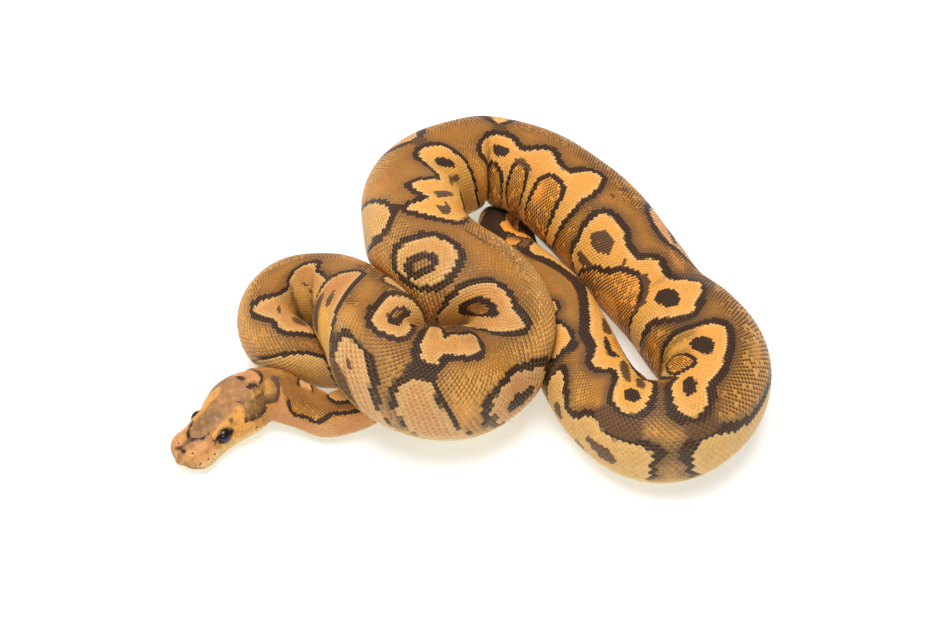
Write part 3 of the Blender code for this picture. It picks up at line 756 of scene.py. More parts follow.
# %% Spots of the right loop, the rear body and the tail
REAR_SPOTS = (
    ("spot U1", "dark", 0, (
        (393.4, 18), (394.6, 8), (397, 4), (400.6, 4), (401.6, 10), (400.4, 16), (400.4, 25), (397, 30),
        (394, 28))),
    ("spot U2", "dark", 0, (
        (410, 4), (411.2, -5), (414.2, -11), (415.2, -5), (413.8, 4), (413.4, 10), (410.6, 10))),
    ("spot V1", "dark", 0, (
        (425, -5), (425.8, -12), (428.2, -11), (430, -5), (429.4, 2), (427, 4), (425.2, 1))),
    ("spot V2", "umber", 0.2, (
        (424.8, 7), (427.2, 8), (429.4, 18), (432, 32), (428, 32), (425.6, 22), (424.6, 14))),
    ("streak of V", "umber", 0.2, (
        (430, 11), (433, 9), (436.4, 15), (439.6, 22), (442.6, 30), (445, 44), (440, 42), (435.6, 28),
        (432.6, 20))),
    ("rear spot", "dark", 0.2, (
        (444.6, 18), (448.4, 19), (452.6, 26), (454.4, 35), (450, 33), (447, 31), (445.8, 42),
        (444.6, 30))),
    ("rear orange", "orange", 1, ((447, 35), (452, 36), (456, 56), (448, 56))),
    ("rear wedge", "umber", 0.2, ((454.6, 33), (459.4, 37), (464.6, 56), (457, 58), (455.6, 48))),
    ("spot X", "umber", 0, (
        (426.6, -88), (428.2, -98), (431.2, -94), (431.8, -89), (433.6, -86), (432.4, -76),
        (429.6, -77), (427.6, -83))),
    ("far spots of X", "umber", 0.3, ((433, -118), (434, -102), (437.4, -97), (437, -118))),
    ("rear spot of X", "umber", 0, (
        (441.2, -100), (444.2, -97), (445.4, -90), (442.6, -76), (441.2, -82))),
    # painted shade low on the flank of X, where it nears the floor
    ("shoulder of X", "umber", 0.6, (
        (448.6, -46), (449.6, -80), (453, -104), (453, -60), (451, -36), (453, -10), (450, -26))),
    ("near rear band", "dark", 0.3, (
        (446, -8), (450, -2), (455, -4), (460, 5), (465, 13), (470, 19), (475, 21), (480, 14), (485, 6),
        (490, -2), (495, -9), (500, -14), (499.6, 2), (497.4, 2), (493, 4), (490, 17), (485, 30),
        (480, 40), (476, 51), (470, 38), (465, 28), (460, 19), (455, 11), (450, 8))),
    ("tail band", "dark", 0.2, (
        (505.4, -60), (505.6, -16), (506.8, -4), (507.8, 2), (508.8, -8), (512.6, -12), (513.6, 2),
        (514.8, 30), (517, 42), (520, 47), (523.4, 45), (526, 36), (527, -40), (526, -180),
        (508, -180))),
    ("far streak of the tail", "orange", 0.3, (
        (518.6, -90), (521, -60), (520.4, -26), (519, -40), (518, -70))),
    ("tail end", "dark", 0.2, (
        (533, 40), (534, 10), (536, -40), (536, -180), (547, -180), (547, -10), (537, 0), (536, 30))),
    ("lower band of the tail", "dark", 0.2, ((512, 140), (523, 140), (523, 180), (512, 180))),
)
SPOTS = FRONT_SPOTS + ARCH_SPOTS + REAR_SPOTS
print(len(SPOTS), "spots in all")

# %% Lines
# Dark lines: name, colour, half width in millimetres, points.
LINES = (
    ("chevron", "dark", 0.36, (
        (10, -37), (8.5, -31), (6.8, -23), (6.1, -12), (5.7, -2), (6.1, 8), (7, 16), (7.9, 23),
        (8.9, 28), (9.8, 27))),
    ("line between the nostrils", "dark", 0.2, ((2.1, -20), (2.7, -9), (2.3, 0), (2.3, 7))),
    ("stem of the chevron", "umber", 0.22, ((3.2, -3), (5.6, -2))),
    ("far nostril line", "umber", 0.2, ((1.8, -36), (2.2, -22))),
    ("line before the eye", "umber", 0.22, ((9.4, 46), (9.7, 56), (9.3, 66))),
    ("line of dots on the cheek", "umber", 0.18, ((21.6, 19), (22.6, 31))),
    ("line in the cheek patch", "umber", 0.2, (
        (25.2, 40), (27, 36), (29, 35), (31, 38), (32.4, 37), (32, 28))),
    ("soft foot of the cheek patch", "umber", 0.65, (
        (20, 62.5), (23, 66), (27, 71), (31, 74), (33.4, 72))),
    ("foot line of the cheek patch", "dark", 0.35, (
        (19.4, 65), (22, 69.5), (26, 75.5), (30, 79.5), (33, 80))),
    ("rear line of the cheek patch", "umber", 0.45, (
        (33.2, 70), (33.2, 61), (34.8, 52), (35.9, 44), (35.7, 32), (35.1, 18), (34.3, 6), (33.8, -6))),
    ("nape line", "dark", 0.3, (
        (28.7, -60), (29.2, -42), (30.2, -25), (31.1, -10), (31.7, 2), (31.2, 11))),
    ("neck line", "dark", 0.55, (
        (39.1, 36), (39.9, 50), (40.9, 60), (42.5, 67), (44, 61), (46, 59), (48.2, 63), (49, 50),
        (49.9, 34), (52, 39), (54, 44), (57, 48))),
    ("line of the second bay", "dark", 0.8, ((287, 14), (289, 6), (291, 1))),
    ("line A to F", "dark", 0.6, ((152.4, 60), (153.6, 62), (154.6, 50))),
    ("line from J", "dark", 0.6, ((235.2, -22), (235.4, -10))),
    ("left line of E", "umber", 0.5, ((180.6, 88), (181.4, 102), (183, 116))),
    ("tip of R1", "umber", 0.6, ((353.6, 30), (354.6, 36))),
    ("shoulder line of R1", "umber", 1, (
        (361, 23), (364.4, 26), (367, 35), (369.4, 45), (368.4, 54), (368, 66))),
    ("line of blotch Z", "dark", 0.7, ((451.2, -52), (451.8, -34), (453.4, -16), (455, -9))),
)
print(len(LINES), "lines")

# %% Blotches on the sides that face away
# Middle distance and angle, half length in millimetres and half height in degrees.
FAR_BLOTCHES = (
    (68, 95, 5, 26), (70, -80, 5, 26), (112, -92, 6, 20), (131, -98, 6, 24), (176, -88, 7, 24),
    (204, 98, 7, 18), (256, -112, 6, 20), (280, -95, 7, 24), (305, -92, 8, 26), (325, -98, 6, 22),
    (372, -92, 8, 26), (398, 118, 5, 10), (456, 96, 6, 18), (470, -82, 6, 22), (486, -78, 5, 24),
    (478, 96, 6, 20), (60, -105, 3, 16), (93, 92, 5, 18),
)
WAVES = 3  # bays around each of those blotches
WAVE_SHARE = 0.16


def far_blotch(distance, angle, long, tall):
    """An oval whose size swells and shrinks by a sine of three times the turn."""
    turn = np.linspace(0, 2 * np.pi, 14, endpoint=False)
    size = 1 + WAVE_SHARE * np.sin(WAVES * turn + distance)
    return tuple(zip(distance + long * size * np.cos(turn), angle + tall * size * np.sin(turn)))


SPOT_SHARE = 0.32  # a far spot's size, as a share of its blotch's
FAR_MARKS = tuple(("far blotch", "blotch", 1.4, 0, far_blotch(*row)) for row in FAR_BLOTCHES)
FAR_SPOTS = tuple(
    ("far spot", "dark", 0.2, far_blotch(s, a, SPOT_SHARE * long, SPOT_SHARE * tall))
    for s, a, long, tall in FAR_BLOTCHES
)
# The cheek and the lips are alike on both sides. Other head marks are not.
CHEEKS = (
    ("snout", "snout", 1.2, ((-2, 8), (1, 6), (5, 10), (7.6, 28), (9.6, 32), (10, 100), (-2, 100))),
    ("cheek", "apricot", 0.8, (
        (9, 34), (12, 30), (17.4, 28), (18.4, 24), (21.6, 26), (22.4, 46), (19.6, 66), (26, 78),
        (32.6, 84), (33.6, 60), (36.2, 46), (38, 110), (28, 122), (20, 98), (9, 98))),
    ("lips", "lip", 1.2, (
        (-2, 78), (2, 70), (9, 74), (14, 88), (24, 90), (30, 108), (24, 132), (-2, 132))),
)


def mirrored(marks):
    """The same marks on the animal's other side: every angle with its sign changed."""
    return tuple((*mark[:-1], tuple((s, -a) for s, a in mark[-1])) for mark in marks)


def borderless(*tables):
    """The rows of these tables with a border of 0 put in before the softness."""
    return tuple((*mark[:2], 0, *mark[2:]) for rows in tables for mark in rows)


FAR_CHEEK = (
    ("far cheek patch", "olive", 0.4, (
        (21, -50), (19.6, -58), (19.3, -67), (22, -70), (26, -76), (30, -80), (33.2, -81), (33.8, -74),
        (33, -62), (28, -56), (24, -52))),
)
MARKS = borderless(CHEEKS, mirrored(CHEEKS), FAR_CHEEK) + FAR_MARKS + borderless(FAR_SPOTS)
# the first spot, the eye ring with its painted socket shade, is laid on both sides of the head
MARKS += BLOTCHES + ISLANDS + borderless(SMUDGES, mirrored(SPOTS[:1]), SPOTS)
print(len(MARKS), "outlines in all")


# %% [markdown]
# The colour at a place starts as the ground's. Each mark near it is then laid over it: the border
# by how far the place is outside the outline, the mark itself by how far it is inside.

# %% Places and outlines
CORNER_CUTS = 2


def rounded(corners):
    """An outline with its corners cut twice, a quarter of the way along each side."""
    points = np.array(corners, float)
    for _ in range(CORNER_CUTS):
        after = np.roll(points, -1, axis=0)
        points = np.stack([0.75 * points + 0.25 * after, 0.25 * points + 0.75 * after], 1)
        points = points.reshape(-1, 2)
    return points


def flat(distance, angle):
    """Distance and angle as millimetres on the body: the angle times the half width there."""
    return np.stack([distance, np.radians(angle) * half_width(distance)], axis=-1)


def way_out(place, points, closed=True):
    """Millimetres from each place to an outline, less than nothing inside it. The way to a side
    is the way to its nearest point, and a place is inside if a ray crosses the sides oddly."""
    after = np.roll(points, -1, axis=0)
    if not closed:
        points, after = points[:-1], after[:-1]
    side = after - points
    to = place[:, None] - points
    t = np.clip((to * side).sum(2) / np.maximum((side**2).sum(1), 1e-9), 0, 1)
    far = np.linalg.norm(to - t[..., None] * side, axis=2).min(1)
    if not closed:
        return far
    rise = np.where(np.abs(side[:, 1]) < 1e-9, 1e-9, side[:, 1])
    cross = points[:, 0] + side[:, 0] * (place[:, 1:2] - points[:, 1]) / rise
    between = (points[:, 1] > place[:, 1:2]) != (after[:, 1] > place[:, 1:2])
    inside = (between & (place[:, :1] < cross)).sum(1) % 2 == 1
    return np.where(inside, -far, far)


def over(colour, paint, share):
    """The paint laid over the colour, by a share from 0 to 1 for each place."""
    return colour + (paint - colour) * share[:, None]


def step_up(value, start, end):
    """0 below the start, 1 above the end, and a smooth S between."""
    t = np.clip((value - start) / (end - start), 0, 1)
    return t * t * (3 - 2 * t)


square = np.array([(0, 0), (2, 0), (2, 2), (0, 2)], float)
print("way out from the middle of a square of 2 mm:", way_out(np.array([[1.0, 1.0]]), square), "mm")


# %% The ground and its clouds
def clouds(distance, angle, size):
    """A soft tone from about -1 to 1: the mean of sines in five directions, each of its own
    wavelength near the size in millimetres and its own start."""
    x, y = flat(distance, angle).T * 2 * np.pi / size
    total = np.zeros(len(distance))
    for k in range(5):
        turn = 2.4 * k + 0.5
        total += np.sin((np.cos(turn) * x + np.sin(turn) * y) * (0.8 + 0.17 * k) + 1.7 * k * k)
    return total / 3


MOTTLE_START, MOTTLE_END = 24.0, 40.0  # the mottle of the head fades out between these


def head_mottle(colour, distance, angle):
    """The head's colour clouded with brown and rose, and dotted where a fine cloud is thick."""
    head = (1 - step_up(distance, MOTTLE_START, MOTTLE_END)) * (1 - step_up(np.abs(angle), 84, 110))
    brown = step_up(clouds(distance, angle, 3.4), 0.1, 0.9)
    rose = step_up(-clouds(distance + 40, angle, 2.6), 0.1, 0.9)
    dots = step_up(clouds(distance, angle, 0.9), 0.75, 1.0)
    colour = over(colour, PAINT["umber"], 0.30 * head * brown)
    colour = over(colour, PAINT["rose"], 0.40 * head * rose)
    return over(colour, PAINT["pit"], 0.35 * head * dots)


def ground(distance, angle):
    """Brown along the back, gold on the sides, paler low down and cream under the belly. The head
    is browner, and the tone drifts a little along the body by two slow sines."""
    around = np.abs(angle)
    colour = np.tile(PAINT["back"], (len(distance), 1))
    colour = over(colour, PAINT["side"], step_up(around, 8, 50))
    colour = over(colour, PAINT["orange"], 0.6 * step_up(around, 36, 66))
    colour = over(colour, PAINT["low"], step_up(around, 88, 116))
    colour = over(colour, PAINT["belly"], step_up(around, 116, 142))
    drift = np.sin(distance / 7.3 + angle / 31) * np.sin(distance / 17.0 - angle / 23)
    colour = colour * (1 + 0.10 * drift)[:, None]
    head = 1 - step_up(distance, 26, 36)
    return over(colour, PAINT["crown"], head * (1 - step_up(around, 110, 135)))


back_colour = ground(np.array([MID_BODY]), np.array([0.0]))
print("ground on the back:", back_colour.round(3).tolist())

# %% Marks laid over the ground
FRINGE, FRINGE_REACH = 0.8, 3.0  # share and reach in millimetres of the shade outside a border
FRONT_FRINGE = 0.5  # that shade is less on the front half of the body, by this share
LOW_THINNING = 0.6  # how much thinner a border is low on the side than along the back
BRIGHT_RIM = 0.35  # how much paler a blotch is just inside its border
BORDER_MORE = 0.3  # added to every border, in millimetres
MARGIN = 4.4  # marks further off than this, in millimetres, are skipped


def lay_mark(mark, distance, angle, place, edge, spread, colour, dark, plain):
    """One closed mark: shade outside its border, the border, then the mark. A soft mark comes in
    over its softness. Marks fade towards the belly."""
    _, paint, border, softness, corners = mark
    bordered = border > 0
    points = rounded(corners)
    low, high = points.min(0), points.max(0)
    near = np.flatnonzero((distance > low[0] - MARGIN) & (distance < high[0] + MARGIN))
    if not len(near):
        return
    out = way_out(place[near], flat(*points.T))
    around = np.abs(angle[near])
    if bordered:
        border = (border + BORDER_MORE) * (1 - LOW_THINNING * step_up(around, 64, 96)) + spread
        fade = 1 - step_up(around, 104, 124)
        rim = fade * (1 - step_up(out, border - edge, border + edge))
        share = FRINGE * (1 - FRONT_FRINGE * (1 - step_up(distance[near], 280, 380)))
        fringe = fade * share * plain[near] * (1 - step_up(out, border, border + FRINGE_REACH))
        colour[near] = over(colour[near], PAINT["umber"], fringe)
        colour[near] = over(colour[near], PAINT["dark"], rim)
        dark[near] = np.maximum(dark[near], np.maximum(rim, 0.5 * fringe))
    share = 1 - step_up(out, -edge - softness, edge)
    fill = np.tile(PAINT[paint], (len(near), 1))
    if paint in BLOTCH_PAINTS:
        golden = 0.55 * step_up(around, 24, 66) * (1 - step_up(around, 84, 110))
        fill = over(fill, PAINT["gold"], golden)
    fill = over(fill, PAINT["belly"], step_up(around, 100, 132))
    if bordered and paint not in GROUNDS:
        bright = BRIGHT_RIM * (1 - step_up(-out, 0.4, 1.8)) * (out < 0)
        fill = over(fill, PAINT["net"], bright)
    colour[near] = over(colour[near], fill, share)
    dark[near] = dark[near] * (1 - share) + share * (paint in DARKS)
    plain[near] = plain[near] * (1 - share) + share * (paint in GROUNDS)


print("widest border:", max(mark[2] for mark in MARKS) + BORDER_MORE, "mm")


# %% The whole coat
def coat(distance, angle, edge=0.25, spread=0.0):
    """Colour, how dark, and how plain the ground is, at each distance and angle. Borders and lines
    are wider by the spread."""
    angle = (angle + 180) % 360 - 180
    place = flat(distance, angle)
    colour = ground(distance, angle)
    dark = np.zeros(len(distance))
    plain = np.ones(len(distance))
    for mark in MARKS:
        lay_mark(mark, distance, angle, place, edge, spread, colour, dark, plain)
    for _, paint, width, points in LINES:
        points = np.array(points, float)
        reach = (distance > points[:, 0].min() - MARGIN) & (distance < points[:, 0].max() + MARGIN)
        near = np.flatnonzero(reach)
        if len(near):
            out = way_out(place[near], flat(*points.T), closed=False)
            share = 1 - step_up(out, width + spread - edge, width + spread + edge)
            colour[near] = over(colour[near], PAINT[paint], share)
            dark[near] = np.maximum(dark[near], share)
    face = np.flatnonzero(distance < MOTTLE_END)
    if len(face):
        colour[face] = head_mottle(colour[face], distance[face], angle[face])
    return colour, dark, plain


tried = coat(np.array([MID_BODY, 343.0]), np.array([0.0, 40.0]))
print("colours on the back and in a spot:", tried[0].round(3).tolist())

# %% [markdown]
# ## Mesh and material helpers
# Every piece here is arrays of points and faces. They go into the mesh with foreach_set, which is
# far quicker than adding one vertex at a time. Each point also carries its marking as a colour
# attribute, so that the pattern is a part of the piece and not of the view.


# %% Helpers
def mesh_object(name, points, faces, colours=None, uv=None, smooth=True):
    """An object at the origin from points in millimetres and faces of equal size."""
    mesh = bpy.data.meshes.new(name)
    mesh.vertices.add(len(points))
    mesh.vertices.foreach_set("co", (points * MM).astype(np.float32).ravel())
    sides = faces.shape[1]
    mesh.loops.add(faces.size)
    mesh.loops.foreach_set("vertex_index", faces.astype(np.int32).ravel())
    mesh.polygons.add(len(faces))
    mesh.polygons.foreach_set("loop_start", np.arange(0, faces.size, sides, dtype=np.int32))
    mesh.update(calc_edges=True)
    if colours is not None:
        layer = mesh.color_attributes.new("marking", "FLOAT_COLOR", "POINT")
        rgba = np.concatenate([colours, np.ones((len(colours), 1))], axis=1)
        layer.data.foreach_set("color", rgba.astype(np.float32).ravel())
    if uv is not None:
        mesh.uv_layers.new(name="OFBake").data.foreach_set("uv", uv.astype(np.float32).ravel())
    if smooth:
        mesh.shade_smooth()
    made = bpy.data.objects.new(name, mesh)
    bpy.context.scene.collection.objects.link(made)
    return made


def quads(rows, columns, wrap=True):
    """Faces of a grid whose columns close on themselves, or don't."""
    last = columns if wrap else columns - 1
    i, j = np.meshgrid(np.arange(rows - 1) * columns, np.arange(last), indexing="ij")
    k = (j + 1) % columns
    corners = [i + j, i + k, i + columns + k, i + columns + j]
    return np.stack(corners, -1).reshape(-1, 4)


def dressed(piece, material):
    """The piece with its material, riding on the still model's one body."""
    piece.data.materials.clear()
    piece.data.materials.append(material)
    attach(piece, "root")
    return piece


def weld(piece, within=1e-7):
    """Points in one place made one, which closes the poles, and the faces turned outwards."""
    work = bmesh.new()
    work.from_mesh(piece.data)
    bmesh.ops.remove_doubles(work, verts=work.verts, dist=within)
    bmesh.ops.recalc_face_normals(work, faces=work.faces)
    work.to_mesh(piece.data)
    work.free()


print("a square grid of 4 by 4 points has", len(quads(4, 4, wrap=False)), "faces")

# %% [markdown]
# The skin, the scales and the belly plates take their colour from the marking. A snake's coat has no
# two scales of the same tone and a faint grain, which is too fine to model. So noise in the
# object's own space mottles the colour a little, and a finer noise is the grain, as bump only.

# %% Skin and scale materials
def shader_of(material):
    """The shader of a material that has just been made."""
    material.use_nodes = True
    return material.node_tree.nodes["Principled BSDF"]


GLOSS = 0.28  # the share of light that the coat's face reflects, on the shader's own scale
MOTTLE_SCALE = 260.0
GRAIN_HEIGHT = 0.00005


def marked_material(name, roughness, mottle, bump, grain):
    """The marking colour, mottled a little by noise, with a fine grain in its bump."""
    material = bpy.data.materials.new(name)
    shader = shader_of(material)
    nodes, links = material.node_tree.nodes, material.node_tree.links
    shader.inputs["Roughness"].default_value = roughness
    shader.inputs["Specular IOR Level"].default_value = GLOSS
    marking = nodes.new("ShaderNodeAttribute")
    marking.attribute_name = "marking"
    place = nodes.new("ShaderNodeTexCoord")
    cloud = nodes.new("ShaderNodeTexNoise")
    cloud.inputs["Scale"].default_value = MOTTLE_SCALE
    cloud.inputs["Detail"].default_value = 3.0
    tone = nodes.new("ShaderNodeMapRange")
    tone.inputs["To Min"].default_value = 1.0 - mottle
    tone.inputs["To Max"].default_value = 1.0 + mottle
    tint = nodes.new("ShaderNodeVectorMath")
    tint.operation = "SCALE"
    links.new(place.outputs["Object"], cloud.inputs["Vector"])
    links.new(cloud.outputs["Fac"], tone.inputs["Value"])
    links.new(marking.outputs["Color"], tint.inputs[0])
    links.new(tone.outputs["Result"], tint.inputs["Scale"])
    links.new(tint.outputs["Vector"], shader.inputs["Base Color"])
    fine = nodes.new("ShaderNodeTexNoise")
    fine.inputs["Scale"].default_value = grain
    relief_node = nodes.new("ShaderNodeBump")
    relief_node.inputs["Strength"].default_value = bump
    relief_node.inputs["Distance"].default_value = GRAIN_HEIGHT
    links.new(place.outputs["Object"], fine.inputs["Vector"])
    links.new(fine.outputs["Fac"], relief_node.inputs["Height"])
    links.new(relief_node.outputs["Normal"], shader.inputs["Normal"])
    return material


skin_material = marked_material("soft skin", 0.55, 0.06, 0.4, 3000.0)
scale_material = marked_material("satin scales", 0.34, 0.08, 0.2, 2500.0)
belly_material = marked_material("smooth belly plates", 0.35, 0.04, 0.1, 1500.0)
print("materials:", skin_material.name, "/", scale_material.name, "/", belly_material.name)

# %% [markdown]
# ## The skin
# Under its scales a snake has one soft skin that shows as pale lines between them, most of all on
# the outer side of a bend, where it is stretched. One closed mesh stands for every solid length of
# flesh, so no cut shows, as it would if the solids were only coloured. It lies inside them by the
# depth of the scales, which is least on the face. The nostrils, the heat pits, the mouth and the
# seams between the plates of the snout are fine hollows in it. Sculpting could make them as well,
# but named places can be read and moved.

# %% Fine hollows of the face
SCALE_DEPTH, FACE_DEPTH, TAIL_DEPTH_SHARE = 0.22, 0.07, 0.3
FACE_END, COAT_START = 20.0, 40.0
MOUTH_HEIGHT, MOUTH_END, MOUTH_FADE = 3.0, 22.5, 1.5
MOUTH_DEPTH, MOUTH_HALF = 0.22, 0.16
# Pits: name, distance, angle, half length and half height in millimetres, depth, height of the lip.
PITS = (
    ("nostril", 3.1, 31, 0.36, 0.44, 0.5, 0.14),
    ("front pit", 0.7, 82, 0.32, 0.30, 0.35, 0.03),
    ("second pit", 2.7, 81, 0.52, 0.36, 0.5, 0.06),
    ("third pit", 5.2, 81, 0.55, 0.40, 0.5, 0.06),
    ("fourth pit", 7.6, 86, 0.46, 0.36, 0.45, 0.06),
)
# Seams between the plates of the snout, as points of distance and angle, on both sides.
SEAMS = (
    ((0.4, 0), (5.6, 0)),
    ((1.6, 0), (1.8, 18), (2.0, 42), (1.2, 60)),
    ((4.6, 0), (4.8, 20), (4.4, 44), (2.0, 42)),
    ((4.4, 44), (5.2, 56), (9.0, 60)),
    ((1.2, 60), (0.0, 74)),
    ((1.2, 60), (9.2, 70)),
    ((1.8, 66), (1.7, 92)),
    ((3.9, 68), (3.9, 94)),
    ((6.4, 69), (6.4, 95)),
    ((8.8, 70), (8.8, 96)),
    ((6.8, 57), (6.8, 68)),
)
SEAM_DEPTH, SEAM_WIDTH = 0.07, 0.13
LUMP_HEIGHT, LUMP_SIZE = 0.035, 1.3


print(len(PITS), "pits and", len(SEAMS), "seams on each side of the face")


# %% How deep the hollows and the coat are
def mouth_gap(distance, points):
    """How near points are to the mouth's level, as a bell of their height, up to its corner."""
    bell = np.exp(-(((points[..., 2] - MOUTH_HEIGHT) / MOUTH_HALF) ** 2))
    return bell * (1 - step_up(distance, MOUTH_END - MOUTH_FADE, MOUTH_END))


def pit_ways(place):
    """For each pit: the squared way from each place to its middle, where 1 is the pit's edge, and
    the pit's depth and lip."""
    for _, where, turn, long, tall, depth, lip in PITS:
        middle = flat(np.array([where]), np.array([turn], float))[0]
        yield (((place - middle) / (long, tall)) ** 2).sum(1), depth, lip


def seam_ways(place):
    """For each seam: the way from each place to its line, in millimetres."""
    for seam in SEAMS:
        yield way_out(place, flat(*np.array(seam, float).T), closed=False)


def face_relief(distance, angle, points):
    """Millimetres to add along the normal: bells for the pits, each inside a wider and lower bell
    for its lip, and for the seams and the mouth a bell of the way to their line."""
    around = np.abs(angle).ravel()
    place = flat(distance.ravel(), around)
    height = np.zeros(len(place))
    for far, depth, lip in pit_ways(place):
        height += lip * np.exp(-far / 4) - (depth + lip) * np.exp(-far)
    for far in seam_ways(place):
        height -= SEAM_DEPTH * np.exp(-((far / SEAM_WIDTH) ** 2))
    height += LUMP_HEIGHT * clouds(distance.ravel(), around, LUMP_SIZE)
    return height.reshape(distance.shape) - MOUTH_DEPTH * mouth_gap(distance, points)


def coat_depth(distance):
    """The depth of the coat: least on the face, full on the body, and less in the thin tail."""
    depth = FACE_DEPTH + (SCALE_DEPTH - FACE_DEPTH) * step_up(distance, FACE_END, COAT_START)
    return np.minimum(depth, TAIL_DEPTH_SHARE * half_width(np.maximum(distance, 1.0)))


print("coat on the face and at mid body:", coat_depth(np.array([5.0, MID_BODY])).round(3), "mm")

# %% [markdown]
# The skin's rings are closest on the snout, where the fine hollows are. Its points are looked up on
# the grid and moved inwards by the depth of the coat, and a small dome closes the tail.

# %% The skin's points
SKIN_SIDES = 160
SKIN_STEP = 1.25
HEAD_STEP, FACE_STEP = 0.25, 0.14
FACE_ROWS_END, HEAD_SKIN_END = 10.0, 33.0
TAIL_ROWS = 3
TAIL_BULGE = 0.8
SKIN_LOWEST = 0.02
skin_distance = np.concatenate([
    grid_distance[:NOSE_ROWS],
    np.arange(0, FACE_ROWS_END, FACE_STEP),
    np.arange(FACE_ROWS_END, HEAD_SKIN_END, HEAD_STEP),
    np.arange(HEAD_SKIN_END, LENGTH, SKIN_STEP),
    [LENGTH],
])
skin_angle = np.linspace(-180, 180, SKIN_SIDES, endpoint=False)
skin_s, skin_a = np.meshgrid(skin_distance, skin_angle, indexing="ij")
skin_points = look_up(grid, skin_s, skin_a)
skin_normal = look_up(grid_normal, skin_s, skin_a)
skin_lift = -coat_depth(skin_s)
face_rows = skin_distance < COAT_START
skin_lift[face_rows] += face_relief(skin_s[face_rows], skin_a[face_rows], skin_points[face_rows])
skin_points = skin_points + skin_lift[..., None] * skin_normal
skin_points[..., 2] = np.maximum(skin_points[..., 2], SKIN_LOWEST)
tail_way = unit(SPINE[-1, 1:4] - SPINE[-5, 1:4])
tail_ring = np.concatenate([skin_points[-1], skin_points[-1, :1]])
tail_cap = end_cap(tail_ring, tail_way, TAIL_BULGE, TAIL_ROWS)[:, :-1]
skin_points = np.concatenate([skin_points, tail_cap])
skin_s = np.concatenate([skin_s, np.full((TAIL_ROWS, SKIN_SIDES), LENGTH)])
skin_a = np.concatenate([skin_a, np.tile(skin_angle, (TAIL_ROWS, 1))])
print("skin of", skin_points.shape[:2], "points, lowest", skin_points[..., 2].min().round(3), "mm")

# %% [markdown]
# The skin takes the marking, mixed with the pale colour that shows between scales. Its map is the
# body unrolled in four strips, so that it doesn't depend on where anyone looks from.

# %% The skin's colours
SKIN_SPREAD = 0.25  # dark borders reach this much further on the skin than on the scales
SNOUT_END = 10.0


def pit_share(distance, angle, start, end):
    """How far each place is inside a pit, from 0 to 1. Far is 1 at the pit's own edge."""
    share = np.zeros(len(distance))
    for far, _, _ in pit_ways(flat(distance, np.abs(angle))):
        share = np.maximum(share, 1 - step_up(far, start, end))
    return share


def skin_colours(distance, angle, points):
    """The marking. Between the scales it is paler, but less where it is dark and not on the face.
    The pits and the mouth are dark red."""
    colour, dark, _ = coat(distance, angle, spread=SKIN_SPREAD)
    body = step_up(distance, 12, COAT_START)
    around = np.abs(angle)
    stretched = step_up(around, 25, 70)
    colour = over(colour, PAINT["net"], body * (0.25 + 0.5 * stretched) * (1 - dark))
    colour = over(colour, PAINT["umber"], 0.3 * body * dark)
    seams = np.zeros(len(distance))
    snout = np.flatnonzero(distance < SNOUT_END)
    for far in seam_ways(flat(distance[snout], around[snout])):
        seams[snout] = np.maximum(seams[snout], np.exp(-((far / (1.5 * SEAM_WIDTH)) ** 2)))
    colour = over(colour, PAINT["umber"], 0.16 * seams)
    colour = over(colour, PAINT["umber"], 0.7 * mouth_gap(distance, points))
    colour = over(colour, PAINT["pit rim"], 0.7 * pit_share(distance, angle, 1.5, 4.5))
    return over(colour, PAINT["pit"], pit_share(distance, angle, 0.35, 1.3))


in_pits = pit_share(skin_s.ravel(), skin_a.ravel(), 0.35, 1.3) > 0.5
print(in_pits.sum(), "points of the skin are in the pits")

# %% The skin's map and mesh
STRIPS = 4  # the skin's map is the body in four strips, one above the other


def strip_map(distance, angle, start, end):
    """The body unrolled in one strip: distance runs across it and the angle up it, with a margin."""
    up = 0.02 + 0.96 * (angle + 180) / 360
    return np.stack([0.01 + 0.98 * (distance - start) / (end - start), up], axis=-1)


def skin_map(faces):
    """Each face keeps to one strip and to one side of the belly's seam."""
    s, a = skin_s.ravel()[faces], skin_a.ravel()[faces]
    a = np.where(a < a.max(1, keepdims=True) - 180, a + 360, a)
    part = (s + 1.0) / (LENGTH + 1.0) * STRIPS
    strip = np.clip(np.floor(part.mean(1)), 0, STRIPS - 1)[:, None]
    up = (strip + 0.02 + 0.96 * (a + 180) / 360) / STRIPS
    return np.stack([0.01 + 0.98 * (part - strip), up], axis=-1).reshape(-1, 2)


skin_faces = quads(len(skin_points), SKIN_SIDES)
skin = mesh_object(
    "skin",
    skin_points.reshape(-1, 3),
    skin_faces,
    skin_colours(skin_s.ravel(), skin_a.ravel(), skin_points.reshape(-1, 3)),
    skin_map(skin_faces),
)
weld(skin)
dressed(skin, skin_material)
FLESH = [name for name in frame["nodes"] if not name.startswith("eye")]
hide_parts(*FLESH)
print("skin:", len(skin.data.polygons), "faces, in place of", len(FLESH), "solids")

# %% [markdown]
# ## Scales
# The back and sides carry small smooth scales in slanting rows. They sit on a lattice: rows run
# along the body, and each row is shifted by half a scale from the next. A scale is a small pillow
# whose rim is sunk in the skin and whose rear tip stands up a little. It keeps its size where
# the skin is stretched, so that skin shows between scales, and overlaps its neighbours elsewhere.
# A bump texture would be lighter, but from the side the edge of the body would stay smooth.

# %% One scale as a pillow
SCALE_CORNERS = 6
SCALE_LEVELS = ((1.0, -1.35), (0.88, -0.25), (0.66, 0.1), (0.0, 0.2))  # share of the size, height
TIP_RISE = 0.35


